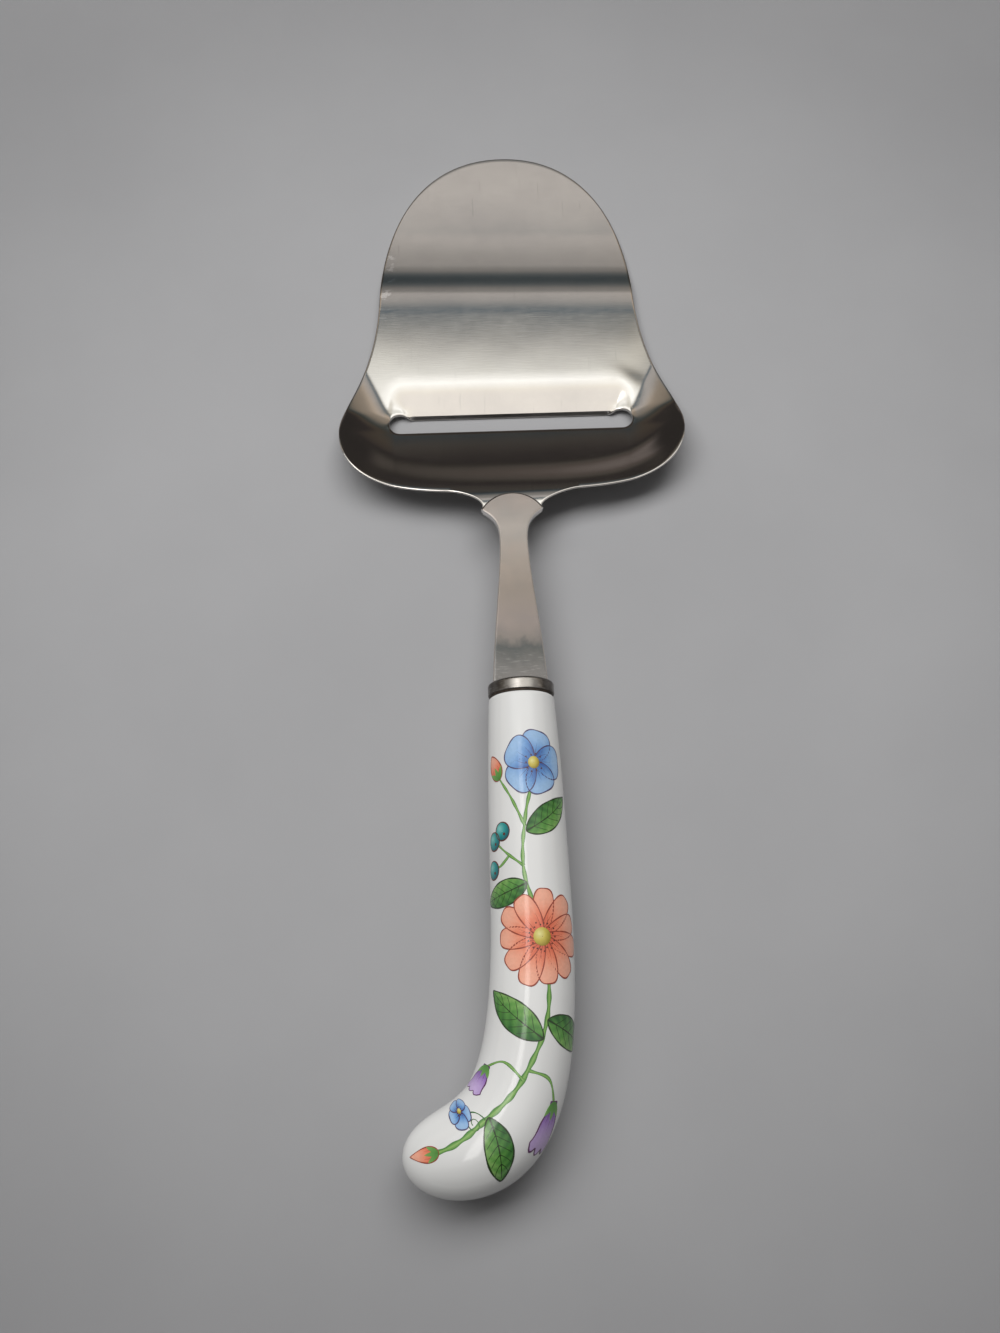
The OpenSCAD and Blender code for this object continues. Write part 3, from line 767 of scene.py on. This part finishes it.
def ferrule_steel():
    """Band with painted light: a painted highlight where it faces up, and painted shade, brown and
    dull, at the sides and along its edges, broken into patches.
    """
    material, n, where = new_material("ferrule_steel_painted_light")
    # Painted light: the colour runs from painted shade at the sides to a painted highlight on top,
    # by how far the surface faces up, broken into patches by noise
    patches = n.streaks(where, (420, 700, 420), 6.0, 0.65)
    painted_light_share = n.math("ADD", facing_up(n), n.swing(patches, 0.7))
    colour = n.ramp(
        painted_light_share,
        (0.45, (0.085, 0.074, 0.064)),
        (0.78, (0.2, 0.185, 0.168)),
        (0.97, (0.46, 0.44, 0.415)))
    hairs = n.band(n.streaks(where, (500, 4200, 500), 2.0), 0.58, 0.7)
    colour = n.blend(n.times(hairs, 0.4), colour, (0.56, 0.54, 0.51))
    brushed_metal(n, where, colour, 0.3, 0.12, 400, 0.00003)
    return material


def rough_stuff(name, dark, light, grain, roughness, relief):
    """Plain dull material with a fine grain."""
    material, n, where = new_material(name)
    grains = n.noise(where, grain, 5.0, 0.65)
    colour = n.ramp(grains, (0.3, dark), (0.7, light))
    rough = n.mapped(n.noise(where, grain / 2, 3.0), 0, 1, roughness - 0.08, roughness + 0.08)
    finish_surface(n, colour, rough, 0.0, grains, relief)
    return material


def porcelain():
    """White glaze, slightly cloudy and slightly wavy."""
    material, n, where = new_material("glazed_porcelain")
    clouds, waves = n.noise(where, 45, 3.0), n.noise(where, 160, 2.0)
    colour = n.ramp(clouds, (0.3, (0.74, 0.735, 0.715)), (0.7, (0.78, 0.775, 0.755)))
    rough = n.mapped(n.noise(where, 400, 4.0), 0, 1, 0.05, 0.11)
    finish_surface(n, colour, rough, 0.0, waves, 0.00002)
    return material


# The printed sprig. It is drawn on a flat sheet: x is millimetres round the grip from its top
# line, and y is millimetres towards the ferrule. PAPER_R rolls the sheet round the grip, SUNK is
# how deep the print goes into the glaze, and SEAM_TURN is how far from the top its map starts.

PAPER_R, SUNK, SEAM_TURN = 8.6, 0.05, 1.75


def ink(red, green, blue):
    """Colour for a shader from one written with 0 to 255."""
    share = np.array([red, green, blue]) / 255
    return np.where(share <= 0.04045, share / 12.92, ((share + 0.055) / 1.055) ** 2.4)


CORAL = (ink(214, 92, 66), ink(238, 140, 108), ink(249, 190, 164))
BLUE = (ink(58, 98, 166), ink(112, 158, 212), ink(172, 204, 235))
LILAC = (ink(104, 66, 146), ink(156, 118, 190), ink(205, 180, 224))
TEAL = (ink(18, 98, 106), ink(48, 156, 154), ink(140, 208, 200))
GOLD = (ink(150, 128, 40), ink(206, 188, 84), ink(232, 224, 150))
LEAF = (ink(46, 98, 48), ink(98, 154, 74), ink(164, 198, 120))
STEM = (ink(52, 104, 46), ink(96, 150, 70), ink(150, 188, 104))
BROWN = ink(92, 50, 40)
STAMEN = (BROWN, BROWN, BROWN)
LEAF_LINE = ink(48, 66, 38)


def shade(inks, t):
    """Colour from dark over middle to pale as t runs from 0 to 1."""
    t = np.clip(t, 0, 1)[..., None]
    return np.where(t < 0.5, mixed(inks[0], inks[1], 2 * t), mixed(inks[1], inks[2], 2 * t - 1))


class Print:
    """One layer of the print: thin closed sheets that lie in the glaze."""

    def __init__(self, lift):
        self.lift = lift
        self.points, self.faces, self.colours, self.places = [], [], [], []
        self.count = 0

    def add(self, paper, colours, closed=False, rise=0.0):
        """Lays a grid of paper points on the grip. If closed, its last row joins its first."""
        colours = np.broadcast_to(colours, (*paper.shape[:2], 3))
        right, up = paper[:-1, 1:] - paper[:-1, :-1], paper[1:, :-1] - paper[:-1, :-1]
        if np.sum(right[..., 0] * up[..., 1] - right[..., 1] * up[..., 0]) < 0:
            paper, colours = paper[:, ::-1], colours[:, ::-1]
        s, angle = -paper[..., 1], paper[..., 0] / PAPER_R
        rows, columns = s.shape
        ids = np.arange(rows * columns).reshape(rows, columns)
        under = rows * columns
        if closed:
            ids = np.vstack([ids, ids[:1]])
            edges = [ids[:, -1], ids[::-1, 0]]
        else:
            edges = [np.r_[ids[0], ids[1:, -1], ids[-1, -2::-1], ids[-2::-1, 0]]]
        walls = [np.stack([e[:-1], e[:-1] + under, e[1:] + under, e[1:]], 1) for e in edges]
        faces = np.vstack([grid_quads(ids), grid_quads(ids + under)[:, ::-1], *walls])
        for lift in (self.lift + rise, -SUNK):
            self.points.append(on_grip(s, angle, lift).reshape(-1, 3))
        self.colours += [colours.reshape(-1, 3)] * 2
        self.places += [np.stack([angle, s], -1).reshape(-1, 2)] * 2
        self.faces.append(faces + self.count)
        self.count += 2 * rows * columns

    def make(self, name):
        points = on_line(np.vstack(self.points))
        piece = make_mesh(name, points, np.vstack(self.faces), colours=np.vstack(self.colours))
        # The flat sheet is also the piece's texture map
        places = np.vstack(self.places)
        flat = np.c_[(places[:, 0] + SEAM_TURN) / (2 * math.pi), places[:, 1] / GRIP_LENGTH]
        corners = np.empty(len(piece.data.loops), np.int32)
        piece.data.loops.foreach_get("vertex_index", corners)
        layer = piece.data.uv_layers.new(name="OFBake")
        layer.data.foreach_set("uv", flat[corners].ravel())
        return piece


# The layers of the print, with how far each stands above the glaze
stems, leaves, leaf_lines = Print(0.012), Print(0.024), Print(0.036)
petals, petal_lines, hearts = Print(0.0480), Print(0.0492), Print(0.080)
# Each petal of a blossom lies a little over the last one
PETAL_RISE = 0.0025


def turned(points, x, s, turn):
    """Moves a drawing to x and s on the paper, with its upward direction turned clockwise."""
    a = math.radians(turn)
    way = np.array([[math.cos(a), -math.sin(a)], [math.sin(a), math.cos(a)]])
    return points @ way + [x, -s]


def lobe(length, width, base, tip, bend=0.0):
    """Petal or leaf that grows upwards, by share t of its length and c of its half width."""
    peak = base / (base + tip)
    full = peak ** base * (1 - peak) ** tip

    def at(t, c):
        t, c = np.broadcast_arrays(t, c)
        half = np.maximum(width / 2 * t ** base * (1 - t) ** tip / full, 0.03)
        lean = 2 * bend * t
        norm = np.hypot(1, lean)
        out, up = half * c / norm, half * c * lean / norm
        return np.stack([bend * length * t ** 2 + out, length * t - up], -1)

    return at


def bell(length, width):
    """Hanging bell with three scallops at its mouth."""

    def at(t, c):
        t, c = np.broadcast_arrays(t, c)
        half = width / 2 * (0.3 + 0.45 * ease(1.6 * t) + 0.25 * t ** 5)
        mouth = 0.14 * length * t ** 4 * np.abs(np.cos(1.5 * math.pi * c))
        return np.stack([half * c, length * t * (1 - 0.08 * c * c) + mouth], -1)

    return at


def spaced(count):
    """Shares from 0 to 1, closer together at the ends."""
    return (1 - np.cos(np.linspace(0, math.pi, count))) / 2


def ribbon(line, width, columns=2, taper=0.0, closed=False):
    """Grid along a line, with a slightly uneven width like a brush line."""
    spacing, beat, uneven = 0.22, 4, 0.22
    length = np.sum(np.hypot(*np.diff(line, axis=0).T))
    count = max(8, int(length / spacing))
    line = along(line, count, closed)
    step = np.roll(line, -1, 0) - np.roll(line, 1, 0) if closed else np.gradient(line, axis=0)
    side = np.stack([step[:, 1], -step[:, 0]], 1) / np.maximum(np.hypot(*step.T), 1e-9)[:, None]
    share = np.linspace(0, 1, count)
    beats = 2 * math.pi * np.round(length / beat)
    half = width / 2 * (1 + uneven * np.sin(beats * share + length)) * (1 - taper * share)
    across = np.linspace(-1, 1, columns)[None, :, None]
    return line[:, None] + side[:, None] * half[:, None, None] * across


def outline(shape, rows=40):
    """Line round a lobe or bell."""
    t = spaced(rows)
    right, left = shape(t, 1.0), shape(t[::-1], -1.0)
    top = shape(1.0, np.linspace(1, -1, 13)[1:-1])
    return np.vstack([right, top, left])


def draw_stem(points, width=0.8, taper=0.35):
    points = np.array(points, float) * [1, -1]
    u = np.linspace(0, len(points) - 1, 14 * len(points))
    # Smooth line through the points
    k = np.clip(u.astype(int), 0, len(points) - 2)
    f = (u - k)[:, None]
    p = np.vstack([2 * points[0] - points[1], points, 2 * points[-1] - points[-2]])
    a, b, c, d = p[k], p[k + 1], p[k + 2], p[k + 3]
    line = b + 0.5 * f * (c - a + f * (2 * a - 5 * b + 4 * c - d + f * (3 * (b - c) + d - a)))
    grid = ribbon(line, width, 5, taper)
    stems.add(grid, shade(STEM, np.array([0.05, 0.5, 0.95, 0.6, 0.1])))


def draw_leaf(x, s, length, width, turn, bend=0.1):
    shape = lobe(length, width, 0.72, 0.95, bend)
    t, c = spaced(34)[:, None], np.linspace(-1, 1, 13)[None]
    bands = 0.12 * np.cos(2 * math.pi * (6.5 * t + np.abs(c)))
    tone = 0.42 + 0.3 * c + bands - 0.25 * (1 - t) ** 3
    leaves.add(turned(shape(t, c), x, s, turn), shade(LEAF, tone))
    leaf_lines.add(turned(ribbon(outline(shape), 0.26, closed=True), x, s, turn), LEAF_LINE, True)
    rib = shape(np.linspace(0, 0.94, 30), 0.0)
    leaf_lines.add(turned(ribbon(rib, 0.3, taper=0.7), x, s, turn), LEAF_LINE)
    for start in np.linspace(0.14, 0.7, 5):
        for side in (-1, 1):
            f = np.linspace(0, 1, 12)
            vein = shape(start + 0.17 * f, side * 0.86 * f ** 0.85)
            leaf_lines.add(turned(ribbon(vein, 0.15, taper=0.6), x, s, turn), LEAF_LINE)


def draw_petal(shape, inks, x, s, turn, veins=3, glow=0.0, rise=0.0):
    t, c = spaced(26)[:, None], np.linspace(-1, 1, 13)[None]
    streaks = 0.07 * np.sin(11 * c + 3 * t) + 0.05 * np.sin(23 * c - 5 * t + turn)
    tone = 0.08 + 0.8 * ease(1.15 * t) + streaks * (1 - t) + glow - 0.12 * c * c
    petals.add(turned(shape(t, c), x, s, turn), shade(inks, tone), rise=rise)
    line_ink = mixed(BROWN, inks[0], 0.35)
    edge = ribbon(outline(shape), 0.24, closed=True)
    petal_lines.add(turned(edge, x, s, turn), line_ink, True, rise)
    for spread in np.linspace(-0.5, 0.5, veins):
        vein = shape(np.linspace(0.06, 0.62 - 0.2 * abs(spread), 16), spread)
        petal_lines.add(turned(ribbon(vein, 0.14, taper=0.85), x, s, turn), line_ink, rise=rise)


def draw_disc(layer, inks, x, s, radius, light=(0.0, 0.0)):
    """Round spot, palest at the place that light gives. Returns its edge round 0."""
    angle = np.linspace(0, 2 * math.pi, 40, endpoint=False)[:, None]
    share = np.linspace(0.04, 1, 8)[None]
    flat = radius * np.stack([share * np.cos(angle), share * np.sin(angle)], -1)
    away = np.hypot(flat[..., 0] / radius - light[0], flat[..., 1] / radius - light[1])
    layer.add(flat + [x, -s], shade(inks, 1.0 - 0.75 * away), True)
    return flat[:, -1]


def draw_heart(x, s, radius, dots):
    """Middle of a flower: a golden disc inside a ring of small dark stamens."""
    draw_disc(hearts, GOLD, x, s, radius, (-0.3, 0.3))
    for k in range(dots):
        a = 2 * math.pi * (k + 0.5) / dots
        reach = radius * (1.45 + 0.18 * math.sin(2.6 * k))
        draw_disc(hearts, STAMEN, x + reach * math.sin(a), s - reach * math.cos(a), 0.17)


def draw_blossom(x, s, radius, count, width, inks, turn, base=0.62, tip=0.34, veins=3):
    for k in range(count):
        length, bend = radius * (1 + 0.05 * math.sin(2.3 * k)), 0.05 * math.sin(1.7 * k)
        shape = lobe(length, width, base, tip, bend)
        draw_petal(shape, inks, x, s, turn + 360 * k / count, veins, rise=PETAL_RISE * k)
    draw_heart(x, s, 0.19 * radius, 2 * count)


def draw_bell(x, s, length, turn, inks):
    draw_petal(bell(length, 0.82 * length), inks, x, s, turn, 3, 0.1)
    draw_leaf_cap(x, s, 0.42 * length, turn)


def draw_leaf_cap(x, s, length, turn):
    """Small green sepals where a bell or bud meets its stem."""
    for lean in (-38, 0, 38):
        shape = lobe(length, 0.34 * length, 0.6, 0.9)
        t, c = spaced(14)[:, None], np.linspace(-1, 1, 5)[None]
        hearts.add(turned(shape(t, c), x, s, turn + lean), shade(LEAF, 0.35 + 0.35 * t))


def draw_bud(x, s, length, turn, inks):
    draw_petal(lobe(length, 0.62 * length, 0.5, 0.75), inks, x, s, turn, 2)
    draw_leaf_cap(x, s, 0.5 * length, turn)


def draw_berry(x, s, radius):
    edge = draw_disc(petals, TEAL, x, s, radius, (-0.35, 0.35))
    petal_lines.add(ribbon(edge, 0.24, closed=True) + [x, -s], BROWN, True)
    draw_disc(hearts, STAMEN, x + 0.3 * radius, s + 0.3 * radius, 0.16 * radius)


def draw_tendril(x, s, size, turns, turn):
    a = np.linspace(0, 2 * math.pi * turns, 90)
    curl = size * np.exp(-0.16 * a)[:, None] * np.stack([np.cos(a), np.sin(a)], 1) - [size, 0]
    stems.add(turned(ribbon(curl, 0.3, taper=0.4), x, s, turn), STEM[0])


def draw_front_sprig():
    draw_stem([(-1, 101), (-2.6, 89), (0.4, 77), (3.2, 65),
               (2.0, 51), (-1.4, 38), (-0.6, 27), (1.6, 19)], 1.05)
    draw_blossom(1.9, 15.8, 6.9, 5, 7.2, BLUE, 14)
    draw_stem([(-0.7, 29), (-3.6, 23), (-6.6, 18.6)], 0.7)
    draw_bud(-6.6, 18.8, 6.0, -28, CORAL)
    draw_leaf(-0.5, 30, 13.2, 5.4, 64, -0.15)
    draw_stem([(-1.3, 37), (-4.8, 34.4), (-7.8, 32)], 0.65)
    draw_stem([(-4.4, 34.6), (-6.6, 36.4), (-8.8, 37.2)], 0.6)
    for x, s in ((-8.9, 31.4), (-6.2, 29.6), (-9.4, 37.2)):
        draw_berry(x, s, 1.9)
    draw_blossom(1.8, 51, 9.4, 11, 4.4, CORAL, 5, 0.6, 0.3, 2)
    draw_leaf(-0.9, 40.4, 12.4, 5.2, -112, 0.14)
    draw_leaf(3.2, 66.5, 13.4, 5.6, 112, -0.13)
    draw_leaf(2.6, 70, 14.6, 5.8, -62, 0.13)
    draw_stem([(0.3, 78), (-4, 75.6), (-7.6, 77.4)], 0.65)
    draw_bell(-7.6, 77.2, 7.2, 194, LILAC)
    draw_stem([(0.8, 76), (5, 76.6), (7.6, 80)], 0.65)
    draw_bell(7.6, 79.8, 6.8, 170, LILAC)
    draw_leaf(-2.4, 87.5, 11.4, 4.7, 122, -0.12)
    draw_tendril(-2.5, 88.5, 2.8, 1.6, -70)
    draw_bud(-1.0, 100.6, 5.6, 176, CORAL)
    draw_blossom(-7.2, 93.5, 3.6, 5, 3.7, BLUE, 30, veins=1)


def draw_back_sprig():
    middle = math.pi * PAPER_R
    draw_stem([(middle, 92), (middle + 1.6, 76), (middle - 1, 60),
               (middle + 1.4, 44), (middle - 0.4, 30)])
    draw_blossom(middle - 0.6, 26, 5.6, 5, 5.9, LILAC, -10)
    for x, s, turn in ((0.8, 40, 58), (0.6, 49, -70), (-0.4, 64, 70)):
        draw_leaf(middle + x, s, 11, 4.4, turn, math.copysign(0.15, -turn))
    draw_leaf(middle + 1.4, 74, 11.5, 4.6, -62, 0.15)
    draw_blossom(middle + 1.0, 86, 4.4, 8, 2.8, CORAL, 0, veins=1)
    draw_stem([(middle - 0.6, 58), (middle - 4, 56), (middle - 6.4, 57.4)], 0.5)
    for x, s in ((-6.6, 57.6), (-4.6, 54.4)):
        draw_berry(middle + x, s, 1.4)
    draw_tendril(middle + 1.5, 70, 2.4, 1.6, 60)


def glazed_print():
    """Print under the same glaze as the white, slightly grained like a transfer."""
    material, n, where = new_material("glazed_print")
    colour = n.add("Attribute", attribute_name="print_colour").outputs["Color"]
    grain = n.ramp(n.noise(where, 1600, 3.0), (0.3, (0.9, 0.9, 0.9)), (0.7, (1.0, 1.0, 1.0)))
    rough = n.mapped(n.noise(where, 400, 4.0), 0, 1, 0.06, 0.12)
    finish_surface(n, n.tinted(colour, grain), rough)
    return material


def dress_grip():
    draw_front_sprig()
    draw_back_sprig()
    material = glazed_print()
    layers = {"print_stems": stems, "print_leaves": leaves, "print_leaf_lines": leaf_lines,
              "print_petals": petals, "print_petal_lines": petal_lines, "print_hearts": hearts}
    for name, layer in layers.items():
        add_piece(layer.make(name), "porcelain", material)


# The main pieces

def dress_main_pieces():
    add_piece(make_blade(), "blade_steel", blade_steel(), "blade")
    add_piece(make_shank(), "shank_steel", shank_steel(), "shank")
    add_piece(make_ferrule(), "ferrule_steel", ferrule_steel(), "ferrule")
    add_piece(make_grip(), "porcelain", porcelain(), "handle")
    weld = rough_stuff("weld_metal", (0.2, 0.19, 0.18), (0.34, 0.32, 0.3), 900, 0.5, 0.00004)
    seal = rough_stuff("dark_seal", (0.02, 0.014, 0.01), (0.06, 0.042, 0.03), 1100, 0.7, 0.00005)
    cement = rough_stuff("grip_cement", (0.42, 0.4, 0.36), (0.6, 0.57, 0.52), 700, 0.85, 0.0001)
    # CAD pieces that are kept as they are
    for node, material in (("spot_welds", weld), ("ferrule_seal", seal), ("tang_cement", cement)):
        paint(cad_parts[node], material)


# Stage, light and camera

def make_floor():
    size, drop = 6.0, 0.0001
    mesh = bpy.data.meshes.new("floor")
    corners = [(x * size, y * size, -drop) for x, y in ((-1, -1), (1, -1), (1, 1), (-1, 1))]
    mesh.from_pydata(corners, [], [(0, 1, 2, 3)])
    floor = new_object("floor", mesh)
    material, n, where = new_material("floor_pale_grey_painted_falloff")
    clouds = n.noise(where, 18, 5.0)
    colour = n.ramp(clouds, (0.3, (0.37, 0.368, 0.374)), (0.7, (0.395, 0.393, 0.399)))
    # Painted light falloff: the floor's colour darkens away from the middle, a painted pool of
    # light round the slicer
    away = n.add("VectorMath", {0: where}, operation="LENGTH").outputs["Value"]
    fall = n.ramp(
        away,
        (0.08, (1, 1, 1)),
        (0.21, (0.68, 0.68, 0.68)),
        (0.6, (0.6, 0.6, 0.6)),
        mode="EASE")
    finish_surface(n, n.tinted(colour, fall), 0.75)
    mesh.materials.append(material)


# What the steel mirrors, by the angle from straight up towards the tip
ROOM = (
    # Pale floor behind, and the dark wall over it
    (-82, (0.40, 0.39, 0.38)),
    (-76, (0.012, 0.012, 0.012)),
    (-40, (0.012, 0.012, 0.012)),
    # Ceiling, which gets brighter towards the strip light
    (-33, (0.60, 0.58, 0.57)),
    (-5, (0.95, 0.93, 0.91)),
    (10, (1.25, 1.20, 1.15)),
    (16, (1.35, 1.30, 1.20)),
    (24, (1.56, 1.56, 1.52)),
    (28, (1.80, 1.82, 1.80)),
    (30, (1.20, 1.20, 1.14)),
    # Dark bluish gap between the light and the wall ahead
    (32, (0.20, 0.18, 0.16)),
    (33, (0.06, 0.13, 0.20)),
    (34, (0.14, 0.18, 0.20)),
    # Lit upper part of that wall, which fades into its dark part
    (36, (0.60, 0.57, 0.55)),
    (38, (0.60, 0.57, 0.55)),
    (40, (0.33, 0.32, 0.31)),
    (45, (0.27, 0.26, 0.25)),
    (48, (0.145, 0.155, 0.16)),
    (50, (0.07, 0.09, 0.10)),
    (51.5, (0.03, 0.045, 0.055)),
    # Low dark part, with a faint shelf in it
    (53.5, (0.085, 0.075, 0.065)),
    (57, (0.035, 0.03, 0.03)),
    (60, (0.045, 0.04, 0.035)),
    # Table ahead and its pale edge
    (62, (0.10, 0.09, 0.08)),
    (64, (0.10, 0.08, 0.07)),
    (66, (0.23, 0.20, 0.19)),
    (68, (0.14, 0.12, 0.11)),
    (90, (0.10, 0.09, 0.08)),
)


def at(degrees):
    """Angle from straight up towards the tip, as a share of a half turn."""
    return degrees / 180 + 0.5


def mirrored_room(n):
    """Colours of the room that steel and glaze mirror."""
    x, y, z = n.split(n.add("TexCoord").outputs["Generated"])
    forward = n.math("ADD", n.math("DIVIDE", n.math("ARCTAN2", y, z), math.pi), 0.5)
    beside = n.math("ABSOLUTE", x)
    room = n.ramp(forward, *[(at(degrees), colour) for degrees, colour in ROOM])
    # The strip light fades to either side
    strip = n.span(forward, (at(22), at(26)), (at(31), at(34)))
    fade = n.times(strip, n.span(beside, (0.085, 0.15), (0.22, 0.3)))
    room = n.blend(fade, room, n.tinted(room, (0.66, 0.64, 0.60)))
    # Further to either side the room is plain grey
    room = n.blend(n.band(beside, 0.42, 0.72), room, (0.36, 0.355, 0.35))
    # The wall ahead is warmer to either side, and dark low down there
    wall = n.span(forward, (at(31.5), at(35)), (at(53), at(57)))
    warm = n.times(wall, n.band(beside, 0.1, 0.2))
    room = n.blend(warm, room, n.tinted(room, (1.16, 1.02, 0.86)))
    low = n.times(n.band(forward, at(58), at(61)), n.band(beside, 0.22, 0.34))
    room = n.blend(low, room, (0.036, 0.032, 0.030))
    # A tall window to the left of straight up, for the long highlight on the glaze
    across = n.span(n.math("DIVIDE", x, z), (-0.41, -0.31), (-0.19, -0.09))
    ahead = n.span(n.math("DIVIDE", y, z), (-0.56, -0.44), (0.27, 0.39))
    window = n.times(across, ahead, n.math("GREATER_THAN", z, 0.1))
    return n.blend(window, room, (4.5, 4.4, 4.3))


def make_world():
    """Mirrored room for glossy rays, a plain backdrop for the camera, and a dim even dome."""
    world = bpy.data.worlds.new("studio")
    bpy.context.scene.world = world
    world.use_nodes = True
    n = Nodes(world.node_tree)

    def light(colour, strength):
        return n.get("Background", {"Color": colour, "Strength": strength})

    room, dome = light(mirrored_room(n), 1.0), light((0.9, 0.9, 0.91), 0.12)
    backdrop = light((0.07, 0.07, 0.071), 1.0)
    path = n.add("LightPath").outputs
    lit = n.get("MixShader", {0: path["Is Glossy Ray"], 1: dome, 2: room})
    whole = n.get("MixShader", {0: path["Is Camera Ray"], 1: lit, 2: backdrop})
    n.add("OutputWorld", {"Surface": whole})


def make_lamp():
    light = bpy.data.lights.new("key_softbox", "AREA")
    light.shape = "RECTANGLE"
    light.size, light.size_y = 1.4, 0.5
    light.energy = 11.0
    lamp = new_object("key_softbox", light)
    lamp.location = (-0.12, 0.38, 0.85)
    lamp.rotation_euler = (-lamp.location).to_track_quat("-Z", "Y").to_euler()
    lamp.visible_glossy = False


def make_camera():
    """Camera at the photograph's viewing angle, for an image of 1000 by 1333 pixels."""
    sensor, photo_height, focal_px = 36.0, 1333, 1253.5
    eye_place, tilt, turn = (-7.24, -93.78, 269.3), 16.79, -1.88
    camera = bpy.data.cameras.new("camera")
    camera.sensor_width = sensor
    camera.lens = sensor * focal_px / photo_height
    camera.clip_start = 0.01
    eye = new_object("camera", camera)
    eye.location = [v * MM for v in eye_place]
    eye.rotation_euler = (math.radians(tilt), 0, math.radians(turn))
    bpy.context.scene.camera = eye


dress_main_pieces()
dress_grip()
make_floor()
make_world()
make_lamp()
make_camera()
bpy.context.scene.view_settings.view_transform = "Standard"
